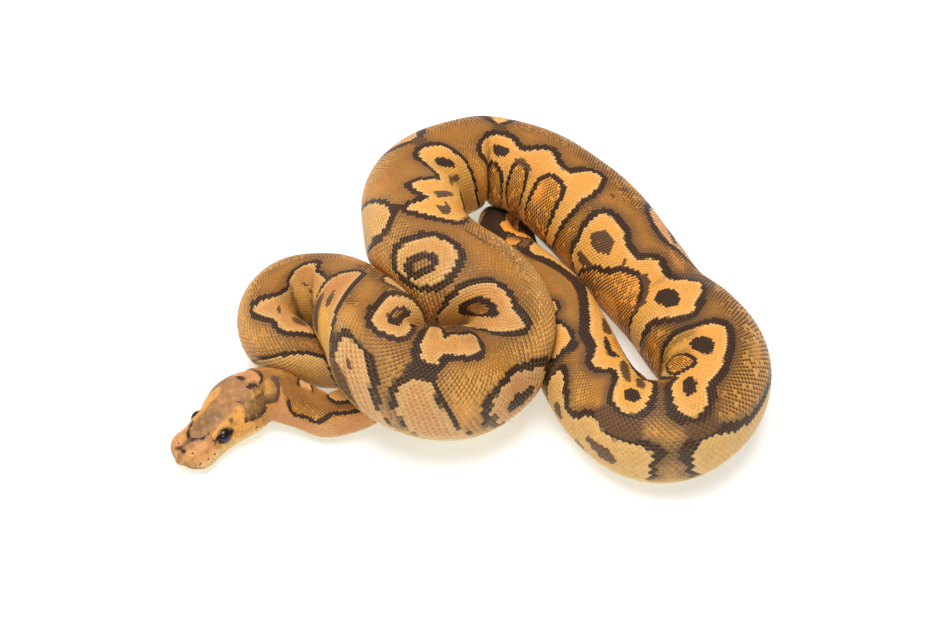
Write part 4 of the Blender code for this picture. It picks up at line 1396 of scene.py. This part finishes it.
def scale_pattern():
    """A rounded lozenge: corners around an oval whose power is between 1, a lozenge, and 2, an
    oval, in three loops and a middle. Returns places, heights, and the faces."""
    turn = np.arange(SCALE_CORNERS) * 2 * np.pi / SCALE_CORNERS
    x, y = np.cos(turn), np.sin(turn)
    power = np.where(x > 0, 1.5, 1.8)  # the rear end, towards the tail, is more pointed
    size = (np.abs(x) ** power + np.abs(y) ** power) ** (-1 / power)
    rim = np.stack([x * size, y * size], 1)
    loops = [
        np.column_stack([rim * share, np.full(SCALE_CORNERS, height)])
        for share, height in SCALE_LEVELS[:-1]
    ]
    places = np.concatenate(loops + [[[0, 0, SCALE_LEVELS[-1][1]]]])
    tip = np.clip(places[:, 0], 0, 1)
    places[SCALE_CORNERS:, 2] += TIP_RISE * tip[SCALE_CORNERS:]
    a = np.arange(SCALE_CORNERS)
    b = (a + 1) % SCALE_CORNERS
    faces = []
    for loop in range(len(loops) - 1):
        start, after = loop * SCALE_CORNERS, (loop + 1) * SCALE_CORNERS
        pairs = np.stack([start + a, start + b, after + b, start + a, after + b, after + a], 1)
        faces.append(pairs.reshape(-1, 3))
    last = SCALE_CORNERS * (len(loops) - 1)
    middle = np.full(SCALE_CORNERS, len(places) - 1)
    faces.append(np.stack([last + a, last + b, middle], 1))
    return places, np.concatenate(faces)


PATTERN, PATTERN_FACES = scale_pattern()
# How much of the rim's colour each loop takes, and where the dark fleck of the rear tip lies.
EDGE_SHARE = np.repeat([1.0, 0.9, 0.1, 0.0], [SCALE_CORNERS] * 3 + [1])
TIP_SHARE = step_up(PATTERN[:, 0], 0.16, 0.42)
print("a scale has", len(PATTERN), "points and", len(PATTERN_FACES), "triangles")


# %% [markdown]
# The rows are set out once for each zone of the body. They are finest on the nape, and they widen
# from the crest of the back towards the belly.

# %% The lattice of rows
def lattice(start, end, pitch, rows, crest, spread, last_pitch=None):
    """Row angles grow from the crest outwards: crest times the row number plus spread times its
    square. Odd rows are half a pitch further back. The pitch may grow evenly along the zone.
    Returns distance, angle, row width and pitch."""
    last_pitch = pitch if last_pitch is None else last_pitch
    row = np.arange(-rows, rows + 1)
    angle = np.sign(row) * (crest * np.abs(row) + spread * row**2)
    width = crest + 2 * spread * np.abs(row)
    count = round(2 * (end - start) / (pitch + last_pitch))
    share = np.arange(count) / count
    step = pitch + (last_pitch - pitch) * share
    column = start + (end - start) * np.concatenate([[0], np.cumsum(step)[:-1]]) / step.sum()
    distance = column[:, None] + (row % 2) * step[:, None] / 2
    spans = np.broadcast_arrays(distance, angle, width, step[:, None])
    return np.stack([values.ravel() for values in spans])


NAPE_START, NECK_START, TRUNK_START, TAIL_START, TAIL_END = 28.0, 38.0, 72.0, 497.0, 543.0
nape = lattice(NAPE_START, NECK_START, 0.36, 40, 3.7, 0.0, 0.5)
neck = lattice(NECK_START, TRUNK_START, 0.56, 30, 3.9, 0.029, 0.92)
trunk = lattice(TRUNK_START, TAIL_START, 0.92, 35, 2.4, 0.0482)
tail = lattice(TAIL_START, TAIL_END, 0.92, 22, 5.0, 0.068, 0.7)
scales = np.concatenate([nape, neck, trunk, tail], axis=1)
print("scales on the body:", scales.shape[1])

# %% [markdown]
# All scales of a piece are laid at once: the pattern's points are set around each place of the
# lattice, and the surface is looked up there. The colour of a scale is the marking at its middle.

# %% Laying the pattern on the body
LONGEST, WIDEST = 1.05, 1.35  # half a scale's length and width are never more, in millimetres
SCALE_SEED = 7
WOBBLE = 0.03  # how far scales stray from the lattice, as a share of it
CORE_SHADE = np.array([0.74, 0.64, 0.56])  # the middle of a scale is this much darker than its edge
TONE_SPREAD = 0.045  # how much scales differ in tone
SPECK_CHANCE = 0.85  # the share of scales that have a fleck where the ground is flecked
PATCH = 0.0015  # half the size of a scale's patch on the map


def stretches(distance, angle):
    """Millimetres of skin for each unit of distance along the body, and for each degree around."""
    stretch = np.linalg.norm(look_up(grid_along, distance, angle), axis=1)
    per_degree = np.linalg.norm(look_up(grid_around, distance, angle), axis=1)
    return stretch, per_degree


def scale_points(rows, thickness, reach, chance):
    """The pattern's points around each place. Its half length and width are a share of the
    lattice's times the stretch of the skin, up to the most that a scale has."""
    distance, angle, width, pitch = rows
    stretch, per_degree = stretches(distance, angle)
    long_half = np.minimum(reach[0] * pitch * stretch, LONGEST)
    wide_half = np.minimum(reach[1] * width * per_degree, WIDEST)
    wobble = chance.normal(0, WOBBLE, (2, len(distance)))
    x = PATTERN[:, 0] * (long_half / np.maximum(stretch, 0.2))[:, None]
    y = PATTERN[:, 1] * (wide_half / np.maximum(per_degree, 0.01))[:, None]
    s = distance[:, None] + x + wobble[0][:, None] * pitch[:, None]
    a = angle[:, None] + y + wobble[1][:, None] * width[:, None]
    points = look_up(grid, s, a)
    points = points + (thickness * PATTERN[:, 2])[..., None] * look_up(grid_normal, s, a)
    points[..., 2] = np.maximum(points[..., 2], 0.0)
    return points


outer_and_inner = stretches(np.array([180.0, 180.0]), np.array([90.0, -90.0]))[0]
print("stretch on the outer and the inner side of the coil:", outer_and_inner.round(2))


# %% Colouring the scales
def flecks(distance, angle, dark, plain, length, stretch, chance):
    """How dark the rear tip of each scale is: on plain ground, on the sides and where the skin is
    drawn in, but less where scales stand apart, low down, on the crown, and in clearer patches."""
    around = np.abs(angle)
    drawn_in = step_up(1 - stretch, 0.2, 0.45)
    spaced = step_up(length, 1.4, 2.0)
    clear_crown = 4 + 34 * step_up(NECK_START - distance, 0, 8)
    speck = np.maximum(plain * step_up(around - clear_crown, 0, 18), 0.8 * drawn_in)
    speck *= (1 - 0.5 * spaced) * (1 - dark) * (1 - step_up(around, 100, 124))
    speck *= step_up(clouds(distance, angle, 19.0), -1.1, -0.2)
    return speck * (chance.random(len(distance)) < SPECK_CHANCE)


def scale_colours(rows, contrast, chance):
    """The rim is mixed with the colour of the net that shows between scales, most where the skin
    is open, and the core is darker. The rear tip may be a dark fleck."""
    distance, angle, _, pitch = rows
    stretch, _ = stretches(distance, angle)
    colour, dark, plain = coat(distance, angle, 0.05)
    colour = colour * (1 + chance.normal(0, TONE_SPREAD, len(distance)))[:, None]
    open_skin = step_up(stretch * pitch, 0.85, 1.45) * step_up(np.abs(angle), 6, 45)
    rim = over(colour, PAINT["net"], contrast * (0.15 + 0.55 * open_skin) * (1 - 0.8 * dark))
    rim = over(rim, PAINT["umber"], 0.35 * contrast * dark)
    core = over(colour, colour * CORE_SHADE, contrast * (0.25 + 0.35 * open_skin) * (1 - dark))
    mixed = core[:, None] + (rim - core)[:, None] * EDGE_SHARE[:, None]
    speck = flecks(distance, angle, dark, plain, stretch * pitch, stretch, chance)
    return mixed + (PAINT["dark"] - mixed) * (0.95 * speck[:, None] * TIP_SHARE)[..., None]


print("scales differ in tone by", TONE_SPREAD, "of it")


# %% One mesh of scales
def scale_piece(name, rows, thickness=None, span=None, contrast=1.0, reach=(0.51, 0.76)):
    """One mesh of scales. On the map each scale is a small patch at its root's place."""
    distance, angle = rows[:2]
    chance = np.random.default_rng(SCALE_SEED)
    thick = coat_depth(distance)[:, None] if thickness is None else thickness
    points = scale_points(rows, thick, reach, chance)
    colours = scale_colours(rows, contrast, chance)
    each = np.arange(len(distance))[:, None, None]
    faces = (PATTERN_FACES + len(PATTERN) * each).reshape(-1, 3)
    low, high = (distance.min(), distance.max() + 1e-6) if span is None else span
    root = strip_map(distance, angle, low, high)
    uv = (root[:, None] + PATCH * PATTERN[:, :2])[each, PATTERN_FACES].reshape(-1, 2)
    made = mesh_object(name, points.reshape(-1, 3), faces, colours.reshape(-1, 3), uv)
    return dressed(made, scale_material)


print("a scale's patch on the map is", 2 * PATCH, "across")

# %% The sheets of scales
# Name, and the distance from the snout at which the sheet starts.
SHEETS = (
    ("scales_neck", 0),
    ("scales_left_loop", 90),
    ("scales_coil", 150),
    ("scales_crossing", 215),
    ("scales_bend", 272),
    ("scales_arch", 330),
    ("scales_right_loop", 385),
    ("scales_rear", 440),
    ("scales_tail", 480),
    ("end", 600),
)
for (sheet_name, sheet_start), (_, sheet_end) in zip(SHEETS, SHEETS[1:]):
    chosen = (scales[0] >= sheet_start) & (scales[0] < sheet_end)
    sheet = scale_piece(sheet_name, scales[:, chosen])
    print(sheet_name, chosen.sum(), "scales,", len(sheet.data.polygons), "triangles")

# %% [markdown]
# ## Head scales
# A ball python's crown and cheeks have very small smooth scales, the lips a row of larger plates,
# and each eye a ring of tiny scales. They are the same pattern on a finer lattice, left out where
# the eyes, the lips and the plates are. The front of the snout is bare here, because its few broad
# plates are a part of the skin, with seams between them.

# %% The eyes' places
EYE_RADIUS = 2.25
EYE_DISTANCE = 12.7
EYE_ASIDE = 4.6
EYE_HEIGHT = 6.6
SIDES = {"left": 1, "right": -1}
eye_row = rows_at(np.array([EYE_DISTANCE]))[0]
EYES = {
    name: np.array([*(eye_row[1:3] + side * EYE_ASIDE * eye_row[4:6] - MIDDLE), EYE_HEIGHT])
    for name, side in SIDES.items()
}
print("eyes at", {side: centre.round(2).tolist() for side, centre in EYES.items()})

# %% Small scales of the head
LIP_TOP, LIP_FOOT = 5.1, 1.3
TOP_PLATES_END, SIDE_PLATES_END, SIDE_PLATES_ANGLE = 5.8, 9.0, 26
EYE_ROOM = 0.55
HEAD_SPAN = (-1.0, NAPE_START)  # the part of the body that the maps of the head's pieces cover
head = lattice(4.5, NAPE_START, 0.5, 38, 3.9, 0.0, 0.62)
head_points = look_up(grid, head[0], head[1])
head_height = head_points[:, 2]
on_lips = (head_height < LIP_TOP) & (head_height > LIP_FOOT) & (head[0] < MOUTH_END + 1)
on_plates = (head[0] < SIDE_PLATES_END) & (np.abs(head[1]) > SIDE_PLATES_ANGLE)
on_plates |= head[0] < TOP_PLATES_END
clear = ~on_lips & ~on_plates
for centre in EYES.values():
    clear &= np.linalg.norm(head_points - centre, axis=1) > EYE_RADIUS + EYE_ROOM
scale_piece("scales_head", head[:, clear], 0.06, HEAD_SPAN, 0.35, (0.53, 0.80))
print("head:", clear.sum(), "scales")


# %% Lip plates
def angle_at(distance, height, side):
    """The angle at which the surface is at that height on one side, at each distance."""
    angle = side * np.linspace(40, 150, 221)
    level = look_up(grid, distance[:, None], angle[None])[..., 2]
    return angle[np.argmin(np.abs(level - height), axis=1)]


# The upper row starts behind the pits and the lower one at the chin: distance and height.
LIP_ROWS = ((9.8, 4.15), (1.2, 2.0))
LIP_PITCH, LIP_WIDTH = 1.9, 9.0  # in millimetres along the lip and degrees around it
lip_rows = []
for side in SIDES.values():
    for start, height in LIP_ROWS:
        where = np.arange(start, MOUTH_END, LIP_PITCH)
        turn = angle_at(where, height, side)
        lip_rows.append(np.stack(np.broadcast_arrays(where, turn, LIP_WIDTH, LIP_PITCH)))
lip_rows = np.concatenate(lip_rows, axis=1)
scale_piece("lip_plates", lip_rows, 0.12, HEAD_SPAN, 0.3, (0.56, 1.0))

print(lip_rows.shape[1], "lip plates")

# %% The rings around the eyes
RING_SCALES, RING_SIZE, RING_ROOM = 18, 0.75, 0.22
ring_turn = np.linspace(0, 2 * np.pi, RING_SCALES, endpoint=False)
ring_rows = []
for side_name, side in SIDES.items():
    turns = np.linspace(40, 110, 141) * side
    near_eye = look_up(grid, np.full(len(turns), EYE_DISTANCE), turns) - EYES[side_name]
    eye_angle = turns[np.argmin(np.linalg.norm(near_eye, axis=1))]
    _, per_degree = stretches(np.array([EYE_DISTANCE]), np.array([eye_angle]))
    ring_s = EYE_DISTANCE + (EYE_RADIUS + RING_ROOM) * np.cos(ring_turn)
    ring_a = eye_angle + (EYE_RADIUS + RING_ROOM) * np.sin(ring_turn) / per_degree
    spans = np.broadcast_arrays(ring_s, ring_a, RING_SIZE / per_degree, RING_SIZE)
    ring_rows.append(np.stack(spans))
ring_rows = np.concatenate(ring_rows, axis=1)
scale_piece("eye_ring_scales", ring_rows, 0.16, HEAD_SPAN, 0.2, (0.5, 0.5))
print(ring_rows.shape[1], "scales round the eyes")

# %% [markdown]
# ## Belly plates
# Under the belly a snake has one row of broad plates, each as wide as the belly. They are hidden
# here but for the raised loops, and a model is also looked at from below. Each plate is a sheet of
# few faces with its front and side edges sunk in the skin, so it needs no thickness.

# %% The belly plates
PLATE_PITCH, PLATE_OVERLAP = 2.6, 1.25
PLATE_FROM = 143.0
PLATE_ROWS, PLATE_COLUMNS = 4, 15


def plate_shape(rows, columns):
    """A flat sheet bowed back in the middle, its rear edge raised and its other edges sunk."""
    x, y = np.meshgrid(np.linspace(0, 1, rows), np.linspace(-1, 1, columns), indexing="ij")
    back = 1 - 0.35 * y**2
    height = np.where((x == 0) | (np.abs(y) == 1), -1.3, 0.15 * x)
    return x * back, y, height


def belly_plates():
    """One sheet for each plate, from the neck to the tail, looked up on the body's grid."""
    x, y, height = plate_shape(PLATE_ROWS, PLATE_COLUMNS)
    start = np.arange(NECK_START - 1, TAIL_END - 3, PLATE_PITCH)
    s = start[:, None, None] + x * PLATE_PITCH * PLATE_OVERLAP
    a = 180 + y * (180 - PLATE_FROM) + np.zeros_like(s)
    deep = np.minimum(SCALE_DEPTH, 0.1 * half_width(s))
    points = look_up(grid, s, a) + (deep * height)[..., None] * look_up(grid_normal, s, a)
    points[..., 2] = np.maximum(points[..., 2], 0.0)
    faces = quads(PLATE_ROWS, PLATE_COLUMNS, wrap=False)[:, ::-1]
    first = PLATE_ROWS * PLATE_COLUMNS * np.arange(len(start))[:, None, None]
    faces = (faces + first).reshape(-1, 4)
    colour, _, _ = coat(s.ravel(), a.ravel())
    uv = strip_map(s, a - 180, start[0] - 1, start[-1] + 6).reshape(-1, 2)[faces]
    return points.reshape(-1, 3), faces, colour, uv.reshape(-1, 2), len(start)


plate_points, plate_faces, plate_colours, plate_uv, plate_count = belly_plates()
plates = mesh_object("belly_plates", plate_points, plate_faces, plate_colours, plate_uv)
dressed(plates, belly_material)
print(plate_count, "belly plates,", len(plate_faces), "faces")

# %% [markdown]
# ## Eyes
# A snake has no lids: a clear scale covers the eye, so it looks wet and dark. The pupil is an
# upright slit in a dark iris, and both nearly vanish under the reflection. A clear shell over a
# painted ball could show that, but on so small and dark an eye one glossy ball looks the same.

# %% The eyes
EYE_ROWS, EYE_COLUMNS = 40, 64
PUPIL_WIDE, PUPIL_TALL = 0.16, 0.62  # half the slit's size, as a share of the eye's radius
PUPIL, IRIS = linear(3, 3, 3), linear(22, 19, 17)
EYE_LIFT = 0.1  # how much the eyes look upwards


def ball(centre, radius, rows, columns, pole):
    """A sphere with its pole along the given way: points at equal steps of two angles. Also the
    same points as directions, and the ways across and up."""
    side = unit(np.cross(pole, (0, 0, 1)))
    top = np.cross(side, pole)
    v = np.linspace(0, np.pi, rows)[:, None]
    u = np.linspace(0, 2 * np.pi, columns, endpoint=False)[None]
    around = np.cos(u)[..., None] * side + np.sin(u)[..., None] * top
    points = np.sin(v)[..., None] * around + np.cos(v)[..., None] * pole
    return centre + radius * points, points, side, top


eye_material = bpy.data.materials.new("wet dark eye")
eye_shader = shader_of(eye_material)
eye_shader.inputs["Roughness"].default_value = 0.05
eye_marking = eye_material.node_tree.nodes.new("ShaderNodeAttribute")
eye_marking.attribute_name = "marking"
eye_material.node_tree.links.new(eye_marking.outputs["Color"], eye_shader.inputs["Base Color"])

for side_name, sign in SIDES.items():
    outward = unit(sign * eye_row[4:7] + EYE_LIFT * eye_row[7:10])
    points, place, aside, top = ball(EYES[side_name], EYE_RADIUS, EYE_ROWS, EYE_COLUMNS, outward)
    place = place.reshape(-1, 3)
    slit = (place @ aside / PUPIL_WIDE) ** 2 + (place @ top / PUPIL_TALL) ** 2
    colours = over(np.tile(PUPIL, (len(place), 1)), IRIS, step_up(slit, 0.8, 1.3))
    faces = quads(EYE_ROWS, EYE_COLUMNS)
    eye = mesh_object("eye_ball_" + side_name, points.reshape(-1, 3), faces, colours)
    weld(eye)
    dressed(eye, eye_material)
    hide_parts("eye_" + side_name)
print("two eyes of", 2 * EYE_RADIUS, "mm")

# %% [markdown]
# ## Floor, light and camera
# A pale sheet of paper under soft light from wide panels, as for a record of a museum model. The
# paper glows a little, so that it stays almost white and only the shade under the animal shows.

# %% The floor
FLOOR_HALF, FLOOR_DROP = 3.0, 0.0001  # in metres
SQUARE = ((-1, -1), (1, -1), (1, 1), (-1, 1))
floor_mesh = bpy.data.meshes.new("floor")
floor_mesh.from_pydata(
    [(x * FLOOR_HALF, y * FLOOR_HALF, -FLOOR_DROP) for x, y in SQUARE], [], [(0, 1, 2, 3)]
)
floor = bpy.data.objects.new("floor", floor_mesh)
bpy.context.scene.collection.objects.link(floor)
floor_material = bpy.data.materials.new("pale paper")
floor_shader = shader_of(floor_material)
floor_shader.inputs["Base Color"].default_value = (0.86, 0.92, 0.97, 1)
floor_shader.inputs["Roughness"].default_value = 0.8
floor_shader.inputs["Emission Color"].default_value = (1, 1, 1, 1)
floor_shader.inputs["Emission Strength"].default_value = 0.30
floor_mesh.materials.append(floor_material)
print("floor", floor.dimensions[:2])


# %% Lights
LOOK_AT = Vector((0, 0, 0.02))


def panel(name, place, size, power):
    """A square soft light that looks at the middle of the coil: place and size are in metres."""
    light = bpy.data.lights.new(name, "AREA")
    light.shape = "SQUARE"
    light.size = size
    light.energy = power
    made = bpy.data.objects.new(name, light)
    made.location = place
    made.rotation_euler = (LOOK_AT - Vector(place)).to_track_quat("-Z", "Y").to_euler()
    bpy.context.scene.collection.objects.link(made)


panel("top panel", (-0.12, 0.05, 1.1), 0.8, 11.4)
panel("front panel", (0.0, -1.0, 0.8), 0.7, 2.3)
world = bpy.data.worlds.new("soft room")
bpy.context.scene.world = world
world.use_nodes = True
room = world.node_tree.nodes["Background"].inputs
room["Color"].default_value = (1, 1, 1, 1)
room["Strength"].default_value = 0.36
bpy.context.scene.view_settings.view_transform = "Standard"
print("lights ready")

# %% The camera
LOOK_DOWN = np.radians(48.0)
CAMERA_FAR = 614.6
TARGET = np.array([-MIDDLE[0], -MIDDLE[1], 18.0])
camera_data = bpy.data.cameras.new("camera")
camera_data.lens = 85.0
camera_data.sensor_width = 36.0
camera = bpy.data.objects.new("camera", camera_data)
ahead = np.array([0, np.cos(LOOK_DOWN), -np.sin(LOOK_DOWN)])
camera.location = (TARGET - CAMERA_FAR * ahead) * MM
camera.rotation_euler = (np.pi / 2 - LOOK_DOWN, 0, 0)
bpy.context.scene.collection.objects.link(camera)
bpy.context.scene.camera = camera
print("camera at", [round(v, 3) for v in camera.location])
